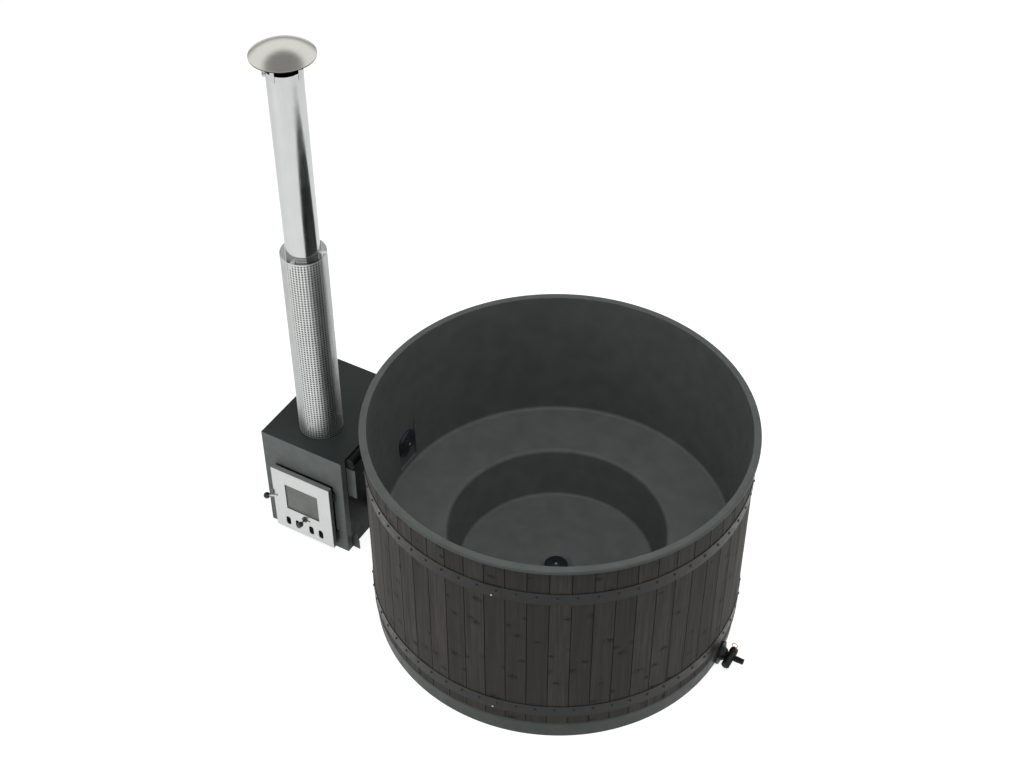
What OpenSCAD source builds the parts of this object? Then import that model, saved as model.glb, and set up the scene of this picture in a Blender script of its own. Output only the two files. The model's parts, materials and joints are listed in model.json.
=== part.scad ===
/* [Tub] */
// Outer radius of the rim lip
rim_r = 843; // [835:1:850]
// Height of the rim above the floor
tub_h = 1076; // [1040:1:1120]
// Height of the bench above the floor
bench_z = 416; // [400:1:440]
// Radius of the bench where it meets the wall
bench_r = 781; // [770:1:785]
// Radius of the footwell at the bench's nose
well_r = 487; // [460:1:510]
// Height of the footwell's floor
floor_z = 168; // [160:1:180]
// Radius of the footwell's floor
floor_r = 450; // [430:1:465]
// Thickness of the moulded plastic
shell_t = 7; // [5:1:8]

/* [Cladding] */
// Number of staves round the tub
stave_count = 59; // [56:1:62]
// Distance from the axis to a stave's flat outer face
stave_out = 828.6; // [826:0.2:829]
// Distance from the axis to a stave's back
stave_in = 817; // [814:0.5:820]
// Gap between two staves
stave_gap = 0.6; // [0.4:0.1:1]
// Direction of the first joint between two staves
stave_turn = 3.15; // [0:0.05:6]
// Height of the base pan that the staves stand on
pan_h = 101; // [98:1:106]

/* [Hoops] */
// Height of a hoop band
hoop_w = 66; // [60:1:70]
// Bottom edge of the lower hoop
hoop_low_z = 150; // [145:1:155]
// Bottom edge of the upper hoop
hoop_high_z = 866; // [860:1:870]
// Number of screws in each hoop
screw_count = 64; // [60:1:68]
// Height of the screw line above a hoop's bottom edge
screw_line = 38; // [34:1:42]

/* [Stove] */
// Width of the stove
stove_w = 439; // [430:1:442]
// Depth of the stove
stove_d = 594; // [580:1:600]
// Height of the stove's top
stove_h = 579; // [570:1:590]
// Left side of the stove
stove_x = -1398; // [-1402:1:-1390]
// Front face of the stove
stove_y = -283; // [-290:1:-280]
// Depth of the folded front panel
front_d = 35; // [30:1:40]

/* [Door] */
// Width of the door
door_w = 324; // [318:1:330]
// Sideways offset of the door from the middle of the stove
door_shift = 2.5; // [0:0.5:5]
// Height of the door
door_h = 381; // [375:1:385]
// Bottom edge of the door
door_z = 30; // [26:1:34]
// Depth of the door's frame
door_t = 22; // [20:1:24]
// Width of the window
window_w = 183; // [175:1:190]
// Height of the window
window_h = 158; // [150:1:162]
// Bottom edge of the window
window_z = 172; // [170:1:176]
// Width of an air slot
slot_w = 26; // [24:1:27]
// Height of an air slot
slot_h = 52; // [48:1:56]

/* [Chimney] */
// Outer radius of the flue pipe
flue_r = 74.5; // [74:0.5:76]
// Top of the flue pipe
flue_top = 2480; // [2440:5:2520]
// Outer radius of the heat shield
shield_r = 100.5; // [98:0.5:102]
// Top of the heat shield
shield_top = 1590; // [1560:5:1620]
// Radius of the rain cap
cap_r = 133; // [128:1:138]
// Rim of the rain cap
cap_z = 2540; // [2530:1:2560]
// Rise of the rain cap's dome
cap_rise = 45; // [40:1:56]

/* [Pipes] */
// Height of the drain line and its valve
drain_z = 54; // [52:1:56]
// Height of the hot water line
hot_z = 562; // [560:1:564]
// Distance of the valve's barrel from the tub's axis
valve_x = 879; // [877:1:882]

/* [Hidden] */

fine = 128;
mid = 48;
small = 32;
eps = 0.05;
air = 1;

stave_pitch = 360 / stave_count;
screw_pitch = 360 / screw_count;
screw_turn = 0.1;
lap_turn = -80;
hoop_in = 830.2;
hoop_t = 1.8;
hoop_out = hoop_in + hoop_t;

stove_x1 = stove_x + stove_w;
stove_y1 = stove_y + stove_d;
door_mid = stove_x + stove_w / 2 + door_shift;
sheet = 2.5;
front_back = stove_y + front_d;
gap_y = 14;
door_back = stove_y - gap_y;
door_front = door_back - door_t;
door_x0 = door_mid - door_w / 2;
door_x1 = door_mid + door_w / 2;
window_x0 = door_mid - window_w / 2;
plate_t = 2.5;
slot_z = 86;
slot_near = 38.5;
slot_far = 92.5;
damper_x = door_mid + 6;
damper_knob_z = 143;
hinge_x = door_x1 + 6;
hinge_y = stove_y - 7;
hinge_pin_r = 3;
hinge_zs = [80, 330];
latch_x = door_x0 + 14;
latch_z = 230;
latch_drop = 26;
latch_len = 62;
flue_x = -1181;
flue_y = -109;
header_r = 24;
header_x = stove_x1 + header_r + 1;
header_front = front_back + 2;
return_z = hot_z;
valve_r = 19;
barrel_front = -58;
barrel_back = 36;

function arc(cx, cy, r, a0, a1, n = 5) =
  [for (i = [0 : n]) [cx + r * cos(a0 + (a1 - a0) * i / n), cy + r * sin(a0 + (a1 - a0) * i / n)]];

module at_turn(a) { rotate([0, 0, a]) children(); }
module along_x() { rotate([0, 90, 0]) children(); }
module along_y() { rotate([-90, 0, 0]) children(); }
module box(x0, x1, y0, y1, z0, z1) { translate([x0, y0, z0]) cube([x1 - x0, y1 - y0, z1 - z0]); }

// Moulded inside of the tub, as one turned shell: sump, floor, riser, bench, wall and rolled rim
wall_top_r = 811;
rim_round = 4;
lip_round = 9;
lip_h = 18;
lip_t = 6;
nose_round = 22;
corner_round = 18;
sump_r = 58;
sump_drop = 14;
sump_slope = 18;
liner_hole_r = 31;

function water_side() = concat(
  [[liner_hole_r, floor_z - sump_drop], [sump_r, floor_z - sump_drop], [sump_r + sump_slope, floor_z]],
  arc(floor_r - corner_round, floor_z + corner_round, corner_round, -90, -10),
  arc(well_r + nose_round, bench_z - nose_round, nose_round, 170, 90),
  arc(bench_r - corner_round, bench_z + corner_round, corner_round, -90, 2),
  arc(wall_top_r + rim_round, tub_h - rim_round, rim_round, 178, 90),
  arc(rim_r - lip_round, tub_h - lip_round, lip_round, 90, 0),
  [[rim_r, tub_h - lip_h]]);

function hidden_side() = [
  [rim_r - lip_t, tub_h - lip_h],
  [rim_r - lip_t, tub_h - shell_t],
  [stave_in - 1, tub_h - shell_t],
  [bench_r + shell_t, bench_z + corner_round],
  [bench_r + 2, bench_z - shell_t],
  [well_r + nose_round, bench_z - shell_t],
  [well_r + shell_t, bench_z - nose_round],
  [floor_r + shell_t, floor_z + corner_round],
  [floor_r - corner_round + 2, floor_z - shell_t],
  [sump_r + sump_slope + 3, floor_z - shell_t],
  [sump_r + 4, floor_z - sump_drop - shell_t],
  [liner_hole_r, floor_z - sump_drop - shell_t]];

// Flat seat in the wall for the return fitting
seat_x = -790;
seat_half = 74;
seat_low = bench_z + 22;
seat_high = 692;

wall_foot = bench_z + corner_round;
wall_head = tub_h - rim_round;
function wall_r(z) = bench_r + (wall_top_r - bench_r) * (z - wall_foot) / (wall_head - wall_foot);

module seat_backing() {
  low = seat_low - shell_t;
  difference() {
    box(seat_x - shell_t, seat_x + 20, -seat_half, seat_half, low, seat_high);
    translate([0, 0, low - air])
      cylinder(h = seat_high - low + 2 * air, r1 = wall_r(low) + 2, r2 = wall_r(seat_high) + 2, $fn = fine);
  }
}

module tub_liner() {
  color("#4c5352")
  difference() {
    union() {
      rotate_extrude($fn = fine) polygon(concat(water_side(), hidden_side()));
      seat_backing();
    }
    box(seat_x, seat_x + 60, -seat_half + shell_t, seat_half - shell_t, seat_low, seat_high + air);
    translate([seat_x - 30, 0, return_z]) along_x() cylinder(h = 60, r = liner_hole_r, $fn = mid);
  }
}

// Base pan: the grey ring under the staves, its floor, the upstand behind the staves and the support ring
pan_foot_r = 822;
pan_top_r = 830;
upstand_r = stave_in - 1;
upstand_top = 235;
support_r = 400;
boss_r = 57;
pad_r = 54;
pipe_r = 25;

function pan_side() = concat(
  [[0, 0], [pan_foot_r - 6, 0]],
  arc(pan_foot_r - 6, 6, 6, -90, 0, 3),
  arc(pan_top_r - 4, pan_h - 4, 4, 4, 90, 3),
  [[upstand_r, pan_h], [upstand_r, upstand_top], [upstand_r - shell_t, upstand_top],
   [upstand_r - shell_t, shell_t], [support_r + shell_t, shell_t],
   [support_r + shell_t, floor_z - shell_t], [support_r, floor_z - shell_t],
   [support_r, shell_t], [0, shell_t]]);

module pipe_way(x0, x1, r) { translate([x0, 0, drain_z]) along_x() cylinder(h = x1 - x0, r = r, $fn = mid); }

module base_pan() {
  color("#565c5b")
  difference() {
    union() {
      rotate_extrude($fn = fine) polygon(pan_side());
      intersection() {
        pipe_way(upstand_r - 10, pan_top_r - 1, boss_r);
        box(upstand_r - 20, pan_top_r, -boss_r, boss_r, 2, pan_h - 1);
      }
    }
    pipe_way(support_r - 20, pan_top_r + 10, pipe_r + 1);
    pipe_way(-pan_top_r - 10, -support_r + 20, pipe_r + 1);
    pipe_way(pan_top_r - 1, pan_top_r + 10, pad_r + 0.2);
  }
}

// One tongue-and-groove stave, drawn as its cross-section at its true distance from the axis
tongue = 5;
tongue_half = 1.8;
groove_half = 2.3;
stave_bevel = 2.5;
stave_low = pan_h;
stave_high = tub_h - shell_t - 1;

function half_at(x) = x * tan(stave_pitch / 2) - stave_gap / 2;

module stave_profile() {
  mid_x = (stave_in + stave_out) / 2;
  side = half_at(mid_x);
  polygon([
    [stave_in, half_at(stave_in)], [mid_x - tongue_half, side], [mid_x - tongue_half, side + tongue],
    [mid_x + tongue_half, side + tongue], [mid_x + tongue_half, side],
    [stave_out - stave_bevel, half_at(stave_out)], [stave_out, half_at(stave_out) - stave_bevel],
    [stave_out, stave_bevel - half_at(stave_out)], [stave_out - stave_bevel, -half_at(stave_out)],
    [mid_x + groove_half, -side], [mid_x + groove_half, tongue + 0.8 - side],
    [mid_x - groove_half, tongue + 0.8 - side], [mid_x - groove_half, -side],
    [stave_in, -half_at(stave_in)]]);
}

module staves(first, last) {
  color("#55504b")
  for (i = [first : last])
    at_turn(stave_turn + (i + 0.5) * stave_pitch)
      translate([0, 0, stave_low]) linear_extrude(stave_high - stave_low) stave_profile();
}

quarter = 15;
module staves_right() { staves(-7, quarter - 8); }
module staves_back() { staves(quarter - 7, 2 * quarter - 8); }
drilled = 2 * quarter - 2;
module staves_left() {
  staves(2 * quarter - 7, drilled - 1);
  staves(drilled + 2, 3 * quarter - 9);
}
// The two staves that the return pipe passes through
module staves_drilled() {
  difference() {
    staves(drilled, drilled + 1);
    translate([-stave_out - 20, 0, return_z]) along_x() cylinder(h = 60, r = liner_hole_r, $fn = mid);
  }
}
module staves_front() { staves(3 * quarter - 8, stave_count - 8); }

// Steel hoop with a lapped end and a hole for each screw
lap_span = 5.5;
lap_t = 1.2;
screw_shank_r = 2.4;

module ring(r0, r1, h) {
  difference() {
    cylinder(h = h, r = r1, $fn = fine);
    translate([0, 0, -air]) cylinder(h = h + 2 * air, r = r0, $fn = fine);
  }
}

module hoop(z) {
  color("#6d7270")
  difference() {
    union() {
      translate([0, 0, z]) ring(hoop_in, hoop_out, hoop_w);
      at_turn(lap_turn - lap_span / 2)
        translate([0, 0, z]) rotate_extrude(angle = lap_span, $fn = fine)
          translate([hoop_out - eps, 0]) square([lap_t + eps, hoop_w]);
    }
    for (i = [0 : screw_count - 1])
      at_turn(screw_turn + i * screw_pitch)
        translate([hoop_in - 5, 0, z + screw_line]) along_x()
          cylinder(h = 12, r = screw_shank_r + 0.2, $fn = 16);
  }
}
module upper_hoop() { hoop(hoop_high_z); }
module lower_hoop() { hoop(hoop_low_z); }

// Domed wood screw: its head bears on the hoop and its shank bites into a stave
head_r = 7;
head_h = 4.2;
shank_len = 14;

module hoop_screw(lift) {
  translate([hoop_out + lift, 0, 0]) along_x() {
    cylinder(h = 1.4, r = head_r, $fn = small);
    translate([0, 0, 1.4]) cylinder(h = head_h - 1.4, r1 = head_r, r2 = head_r * 0.55, $fn = small);
    translate([0, 0, -shank_len]) cylinder(h = shank_len + eps, r = screw_shank_r, $fn = 16);
  }
}

function on_lap(a) = abs(a - lap_turn) < lap_span / 2 + 0.6;

module hoop_screws(z) {
  color("#1d1f20")
  for (i = [0 : screw_count - 1]) {
    a = screw_turn + i * screw_pitch;
    at_turn(a) translate([0, 0, z + screw_line]) hoop_screw(on_lap(a > 180 ? a - 360 : a) ? lap_t : 0);
  }
}
module upper_hoop_screws() { hoop_screws(hoop_high_z); }
module lower_hoop_screws() { hoop_screws(hoop_low_z); }

module hoop_rivets() {
  color("#d8d8d4")
  for (z = [hoop_low_z, hoop_high_z])
    at_turn(lap_turn) translate([hoop_out + lap_t, 0, z + 10]) along_x() {
      cylinder(h = 1, r = 4, $fn = small);
      translate([0, 0, 1]) cylinder(h = 1.2, r1 = 4, r2 = 2.4, $fn = small);
    }
}

// Return fitting in the wall, with its grille, centre screw and back nut
tail_r = 29;
tail_bore = 24;
tail_end = -884;
flange_r = 66;
flange_t = 8;
flange_slope = 5;
flange_rise = 4;
cup_r = flange_r - 12;
cup_floor = 3;
nut_t = 12;
nut_r = 46;
nut_gap = 1.4;
plastic_fit = 0.1;
screw_r = 2.4;
screw_head_h = 2.4;
through = 40;

module return_fitting() {
  color("#23262a")
  translate([0, 0, return_z]) along_x() difference() {
    union() {
      translate([0, 0, seat_x]) cylinder(h = flange_t, r = flange_r, $fn = mid);
      translate([0, 0, seat_x + flange_t])
        cylinder(h = flange_rise, r1 = flange_r, r2 = flange_r - flange_slope, $fn = mid);
      translate([0, 0, tail_end]) cylinder(h = seat_x - tail_end + eps, r = tail_r, $fn = mid);
    }
    translate([0, 0, tail_end - air])
      cylinder(h = seat_x - tail_end + air + cup_floor + eps, r = tail_bore, $fn = mid);
    translate([0, 0, seat_x + cup_floor]) cylinder(h = through, r = cup_r, $fn = mid);
  }
}

// Grille of three broken rings, the space between them open to the water
grille_r = cup_r - 0.3;
grille_h = 12;
grille_dome = 5;
grille_top_r = 44;
ring_bars = 3;
ring_step = 11;
ring_first = 14;
ring_open = 6;
spoke_w = 4;

module return_grille() {
  color("#2c2f36")
  translate([0, 0, return_z]) along_x() difference() {
    union() {
      translate([0, 0, seat_x + cup_floor + plastic_fit]) cylinder(h = grille_h, r = grille_r, $fn = mid);
      translate([0, 0, seat_x + cup_floor + grille_h])
        cylinder(h = grille_dome, r1 = grille_r, r2 = grille_top_r, $fn = mid);
    }
    for (k = [0 : ring_bars - 1])
      translate([0, 0, seat_x]) difference() {
        cylinder(h = through, r = ring_first + ring_open + ring_step * k, $fn = mid);
        translate([0, 0, -air]) cylinder(h = through + 2 * air, r = ring_first + ring_step * k, $fn = mid);
        for (a = [0 : 45 : 315])
          rotate([0, 0, a]) translate([0, -spoke_w / 2, -air]) cube([flange_r, spoke_w, through + 2 * air]);
      }
    translate([0, 0, seat_x]) cylinder(h = through, r = screw_r + plastic_fit, $fn = small);
  }
}

return_head_r = 5;
return_screw_z = seat_x + cup_floor + grille_h + grille_dome;
return_screw_len = 16;

module return_screw() {
  color("#c9cacb")
  translate([0, 0, return_z]) along_x() {
    translate([0, 0, return_screw_z])
      cylinder(h = screw_head_h, r1 = return_head_r, r2 = 0.72 * return_head_r, $fn = small);
    translate([0, 0, return_screw_z - return_screw_len])
      cylinder(h = return_screw_len + eps, r = screw_r, $fn = small);
  }
}

module return_nut() {
  color("#23262a")
  translate([-stave_out - nut_gap - nut_t, 0, return_z]) along_x() difference() {
    cylinder(h = nut_t, r = nut_r, $fn = 8);
    translate([0, 0, -air]) cylinder(h = nut_t + 2 * air, r = tail_r + plastic_fit, $fn = mid);
  }
}

// Floor drain in the sump, with the tee that feeds the valve and the stove
sump_z = floor_z - sump_drop;
tee_half = 56;
socket_len = 22;
socket_t = 6;
pipe_wall = 3;
pipe_bore = pipe_r - pipe_wall;
stub_r = 28;
stub_low = drain_z + pipe_r + 9;
drain_flange_t = 4;
drain_flange_r = 52;
drain_nut_t = 8;
drain_nut_r = 44;

module drain_body() {
  color("#23262a")
  difference() {
    union() {
      translate([0, 0, sump_z]) cylinder(h = drain_flange_t, r = drain_flange_r, $fn = mid);
      translate([0, 0, stub_low]) cylinder(h = sump_z - stub_low + eps, r = stub_r, $fn = mid);
      translate([0, 0, sump_z - shell_t - drain_nut_t])
        cylinder(h = drain_nut_t - plastic_fit, r = drain_nut_r, $fn = 8);
    }
    translate([0, 0, drain_z + pipe_r]) cylinder(h = sump_z, r = pipe_bore, $fn = mid);
  }
}

// Domed strainer: twelve slots in its top and twelve in its side
strainer_r = 55;
strainer_h = 12;
strainer_dome = 7;
strainer_top_r = 38;
strainer_wall = 5;
top_slot = [16, 22, 5];
side_slot = [40, 30, 6, 7];

module drain_strainer() {
  color("#2c2f36")
  difference() {
    union() {
      translate([0, 0, sump_z + drain_flange_t]) cylinder(h = strainer_h, r = strainer_r, $fn = mid);
      translate([0, 0, sump_z + drain_flange_t + strainer_h])
        cylinder(h = strainer_dome, r1 = strainer_r, r2 = strainer_top_r, $fn = mid);
    }
    translate([0, 0, sump_z + drain_flange_t - air])
      cylinder(h = strainer_h, r = strainer_r - strainer_wall, $fn = mid);
    for (a = [0 : 30 : 330])
      rotate([0, 0, a]) translate([top_slot[0], -top_slot[2] / 2, sump_z])
        cube([top_slot[1], top_slot[2], through]);
    for (a = [15 : 30 : 345])
      rotate([0, 0, a]) translate([side_slot[0], -side_slot[2] / 2, sump_z + drain_flange_t + 2])
        cube([side_slot[1], side_slot[2], side_slot[3]]);
    translate([0, 0, sump_z]) cylinder(h = through, r = screw_r + plastic_fit, $fn = small);
  }
}

drain_head_r = 6;
drain_screw_len = 12;

module drain_screw() {
  color("#c9cacb")
  translate([0, 0, sump_z + drain_flange_t + strainer_h + strainer_dome]) {
    cylinder(h = screw_head_h, r1 = drain_head_r, r2 = drain_head_r - 1.6, $fn = small);
    translate([0, 0, -drain_screw_len]) cylinder(h = drain_screw_len + eps, r = screw_r, $fn = small);
  }
}

module drain_tee() {
  branch_h = pipe_r + 34;
  color("#8d8f8c")
  difference() {
    union() {
      pipe_way(-tee_half, tee_half, pipe_r + socket_t);
      translate([0, 0, drain_z]) cylinder(h = branch_h, r = stub_r + socket_t, $fn = mid);
    }
    pipe_way(-tee_half - air, tee_half + air, pipe_bore);
    pipe_way(-tee_half - air, socket_len - tee_half, pipe_r + plastic_fit);
    pipe_way(tee_half - socket_len, tee_half + air, pipe_r + plastic_fit);
    translate([0, 0, drain_z]) cylinder(h = stub_low - drain_z, r = pipe_bore, $fn = mid);
    translate([0, 0, stub_low]) cylinder(h = branch_h, r = stub_r + plastic_fit, $fn = mid);
  }
}

module tube_x(x0, x1, r0, r1) {
  difference() {
    pipe_way(x0, x1, r1);
    pipe_way(x0 - air, x1 + air, r0);
  }
}
module drain_pipe() {
  color("#8d8f8c") tube_x(tee_half - socket_len, pan_top_r - 1, pipe_bore, pipe_r);
}
cold_pipe_out = 50;
module cold_pipe() {
  color("#8d8f8c") tube_x(-pan_top_r - cold_pipe_out, socket_len - tee_half, pipe_bore, pipe_r);
}

// Drain valve: flange on the pan, barrel across the line, plug that turns in it
bore_r = 10;
neck_x = 858;
neck_r = 17;
neck_socket = 8;
collar_t = 7;
collar_x = pan_top_r + collar_t;
cone_r = 38;
cone_end_r = 25;
nozzle_end = 941;
nozzle_core = 13;
nozzle_r = 14;
barb_count = 4;
barb_w = 3;
spindle_r = 13;
cup_t = 8;

module valve_flange() {
  color("#1b1d1f")
  difference() {
    union() {
      pipe_way(pan_top_r - 1, collar_x, pad_r);
      translate([collar_x - eps, 0, drain_z]) along_x()
        cylinder(h = neck_x - collar_x + eps, r1 = cone_r, r2 = cone_end_r, $fn = mid);
    }
    pipe_way(pan_top_r - 10, collar_x + 4, pipe_bore);
    pipe_way(pan_top_r, neck_x + air, bore_r);
    pipe_way(neck_x - neck_socket, neck_x + air, neck_r + plastic_fit);
  }
}

module valve_body() {
  color("#1b1d1f")
  difference() {
    union() {
      translate([valve_x, barrel_front + cup_t, drain_z]) along_y()
        cylinder(h = barrel_back - barrel_front - cup_t, r = valve_r, $fn = mid);
      pipe_way(neck_x - neck_socket, valve_x, neck_r);
      pipe_way(valve_x, nozzle_end, nozzle_core);
      for (k = [0 : barb_count - 1]) {
        x = valve_x + valve_r + (2 * k + 1) * barb_w;
        pipe_way(x, x + barb_w, nozzle_r);
      }
    }
    pipe_way(neck_x - 2 * bore_r, nozzle_end + air, bore_r);
    translate([valve_x, barrel_front + cup_t - air, drain_z]) along_y()
      cylinder(h = barrel_back - barrel_front, r = spindle_r, $fn = mid);
  }
}

plug_in = 14;

module valve_plug() {
  edge = 3;
  color("#1b1d1f")
  translate([valve_x, barrel_front, drain_z]) along_y() {
    cylinder(h = edge, r1 = valve_r - edge, r2 = valve_r, $fn = mid);
    translate([0, 0, edge - eps]) cylinder(h = cup_t - edge + eps, r = valve_r, $fn = mid);
    cylinder(h = plug_in, r = spindle_r - plastic_fit, $fn = mid);
  }
}

// Spindle with its own bore, a cap outside the barrel and an eye for the wire loop
turn_gap = 0.05;
cap_gap = 0.4;
disc_t = 9;
disc_r = valve_r - 1;
disc_round = 3;
eye_w = 6;
eye_y = barrel_back + 5;
eye_z = drain_z + valve_r + 1;
eye_hole = 1.3;
wire_r = 1.35;
loop_r = 13;

module valve_spindle() {
  start = barrel_front + plug_in + 2;
  color("#8a5a3c")
  difference() {
    union() {
      translate([valve_x, start, drain_z]) along_y()
        cylinder(h = barrel_back + 1 - start, r = spindle_r - turn_gap, $fn = mid);
      translate([valve_x, barrel_back + cap_gap, drain_z]) along_y()
        cylinder(h = disc_t, r = disc_r, $fn = mid);
      translate([valve_x, barrel_back + cap_gap + disc_t - eps, drain_z]) along_y()
        cylinder(h = disc_round + eps, r1 = disc_r, r2 = disc_r - disc_round - 1, $fn = mid);
      box(valve_x - eye_w / 2, valve_x + eye_w / 2, eye_y - eye_w / 2, eye_y + eye_w / 2,
          drain_z + spindle_r + 1, eye_z + eye_w / 2);
    }
    pipe_way(neck_x, nozzle_end, bore_r - 0.5);
    translate([valve_x - eye_w, eye_y, eye_z]) along_x() cylinder(h = 2 * eye_w, r = eye_hole, $fn = small);
  }
}

// Stiff wire loop on the spindle's cap, used as its handle
module valve_ring() {
  color("#b5713f")
  translate([valve_x, eye_y, eye_z + loop_r]) rotate([90, 0, 0])
    rotate_extrude($fn = mid) translate([loop_r, 0]) circle(r = wire_r, $fn = 16);
}

// Water lines between the stove and the tub
module cold_stub() {
  color("#3b3d3f")
  tube_x(jacket_x1, -pan_top_r - 20, pipe_r + plastic_fit, pipe_r + socket_t);
}

branch_y = -120;
branch_z = 516;
branch_r = 19;
branch_bore = 15;
header_t = 4;
spigot_len = 38;
spigot_bore = 18;

module branch(r, out) {
  foot = r == branch_r ? r : 0;
  translate([header_x, branch_y, branch_z - foot]) cylinder(h = hot_z - branch_z + foot, r = r, $fn = mid);
  translate([jacket_x1 - out, branch_y, branch_z]) along_x()
    cylinder(h = header_x - jacket_x1 + out, r = r, $fn = mid);
}

module hot_header() {
  color("#4a4d4e")
  difference() {
    union() {
      translate([header_x, header_front + header_t, hot_z]) along_y()
        cylinder(h = header_r - header_front - header_t, r = header_r, $fn = mid);
      translate([header_x, 0, hot_z]) along_x() cylinder(h = spigot_len, r = tail_r, $fn = mid);
      branch(branch_r, 0);
    }
    translate([header_x, header_front, hot_z]) along_y()
      cylinder(h = header_r - header_front - header_t, r = header_r - header_t, $fn = mid);
    translate([header_x, 0, hot_z]) along_x() cylinder(h = spigot_len + air, r = spigot_bore, $fn = mid);
    branch(branch_bore, air);
  }
}

// Domed plug that closes the header's front end
plug_r = 25;
plug_rise = 9;
plug_stem = 16;
plug_stem_r = header_r - header_t - plastic_fit;
plug_ball = (plug_r * plug_r + plug_rise * plug_rise) / (2 * plug_rise);

module header_plug() {
  color("#5a5e5f")
  translate([header_x, header_front, hot_z]) rotate([90, 0, 0])
    rotate_extrude($fn = mid)
      polygon(concat(
        [[0, -plug_stem], [plug_stem_r, -plug_stem], [plug_stem_r, -header_t], [plug_r, -header_t]],
        arc(0, plug_rise - plug_ball, plug_ball, 90 - asin(plug_r / plug_ball), 90, 6)));
}

hose_x0 = header_x + 26;
hose_x1 = -862;
hose_in = tail_r + plastic_fit;
hose_out = 35;
clamp_w = 9;
clamp_t = 1.4;
lock_half = 6;
lock_h = 8;

module hot_hose() {
  color("#202224")
  translate([hose_x0, 0, hot_z]) along_x() difference() {
    cylinder(h = hose_x1 - hose_x0, r = hose_out, $fn = mid);
    translate([0, 0, -air]) cylinder(h = hose_x1 - hose_x0 + 2 * air, r = hose_in, $fn = mid);
  }
}

module clamp_band(x) {
  translate([x, 0, hot_z]) along_x() difference() {
    cylinder(h = clamp_w, r = hose_out + clamp_t, $fn = mid);
    translate([0, 0, -air]) cylinder(h = clamp_w + 2 * air, r = hose_out + eps, $fn = mid);
  }
  box(x, x + clamp_w, -lock_half, lock_half, hot_z + hose_out + 1, hot_z + hose_out + lock_h);
}
module hose_clamps() {
  color("#b9bbba") {
    clamp_band(hose_x0 + 2);
    clamp_band(hose_x1 - clamp_w - 2);
  }
}

// Stove front: folded sheet panel with the fire opening
fire_half = 128;
fire_x0 = door_mid - fire_half;
fire_x1 = door_mid + fire_half;
fire_z0 = 66;
fire_z1 = 376;

module stove_front() {
  color("#63686a")
  difference() {
    box(stove_x, stove_x1, stove_y, front_back, 0, stove_h);
    box(stove_x + sheet, stove_x1 - sheet, stove_y + sheet, front_back + air, sheet, stove_h - sheet);
    box(fire_x0, fire_x1, stove_y - air, stove_y + 10, fire_z0, fire_z1);
  }
}

module stove_casing() {
  color("#34393a")
  difference() {
    box(stove_x, stove_x1, front_back, stove_y1, 0, stove_h);
    box(stove_x + sheet, stove_x1 - sheet, front_back - air, stove_y1 - sheet, -air, stove_h - sheet);
    translate([flue_x, flue_y, stove_h - 10]) cylinder(h = 20, r = flue_r + 2, $fn = mid);
    translate([stove_x1 - 10, branch_y, branch_z]) along_x() cylinder(h = 20, r = branch_r + 1, $fn = mid);
    pipe_way(stove_x1 - 10, stove_x1 + 10, pipe_r + socket_t + 0.5);
  }
}

floor_t = 5;
floor_in = 4;
module stove_floor() {
  color("#34393a")
  box(stove_x + floor_in, stove_x1 - floor_in, front_back + 1, stove_y1 - floor_in, 0, floor_t);
}

// Welded water jacket: an outer and an inner shell with water between them
wall_t = 4;
water_t = 22;
jacket_t = wall_t * 2 + water_t;
jacket_in = 22;
jacket_back = 24;
jacket_x0 = stove_x + jacket_in;
jacket_x1 = stove_x1 - jacket_in;
jacket_y0 = front_back - jacket_back;
jacket_y1 = stove_y1 - jacket_back;
jacket_z0 = floor_t;
jacket_z1 = stove_h - jacket_in;
smoke_r = flue_r - 3;
smoke_deep = 60;
smoke_cut = 80;

module jacket_box(side, front) {
  box(jacket_x0 + side, jacket_x1 - side, jacket_y0 + front, jacket_y1 - side,
      jacket_z0 + side, jacket_z1 - side);
}

module water_jacket() {
  color("#8b8e90")
  difference() {
    jacket_box(0, 0);
    difference() {
      jacket_box(wall_t, wall_t);
      jacket_box(wall_t + water_t, -air);
      translate([flue_x, flue_y, jacket_z1 - smoke_deep])
        cylinder(h = smoke_cut, r = smoke_r + wall_t, $fn = mid);
    }
    jacket_box(jacket_t, -air);
    translate([flue_x, flue_y, jacket_z1 - smoke_deep]) cylinder(h = smoke_cut, r = smoke_r, $fn = mid);
    translate([jacket_x1 - wall_t - air, branch_y, branch_z]) along_x()
      cylinder(h = 10, r = branch_bore, $fn = mid);
    pipe_way(jacket_x1 - wall_t - air, jacket_x1 + air, pipe_r);
  }
}

grate_z = 104;
grate_t = 12;
grate_bars = 11;
grate_rim = 12;
grate_gap = 2;

module fire_grate() {
  gx0 = jacket_x0 + jacket_t + grate_gap;
  gx1 = jacket_x1 - jacket_t - grate_gap;
  gy0 = jacket_y0 + 14;
  gy1 = jacket_y1 - jacket_t - grate_gap;
  step = (gx1 - gx0 - 2 * grate_rim) / grate_bars;
  half_bar = 6;
  slot_len = (gy1 - gy0) / 2 - 30;
  color("#2a2a2a")
  difference() {
    box(gx0, gx1, gy0, gy1, grate_z, grate_z + grate_t);
    for (k = [0 : grate_bars - 1], y = [gy0 + 20, (gy0 + gy1) / 2 + 10])
      box(gx0 + grate_rim + k * step + half_bar, gx0 + grate_rim + (k + 1) * step - half_bar, y, y + slot_len,
          grate_z - air, grate_z + grate_t + air);
  }
  foot = 12;
  color("#2a2a2a")
  for (x = [gx0 + 10, gx1 - 10 - foot], y = [gy0 + 8, gy1 - 8 - foot])
    box(x, x + foot, y, y + foot, jacket_z0 + jacket_t, grate_z + eps);
}

// Bracket plates on the side that faces the tub
bracket_t = 3;
bracket_y = front_back + 4;
bracket_leaf = 34;
side_bracket_w = 48;
side_bracket_z = [348, 526];
foot_bracket_w = 38;
foot_bracket_z = [1, 60];
bolt_zs = [376, 498, 30];
bolt_y = front_back + 24;
bolt_h = 5;
bolt_r = 6.5;

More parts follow.
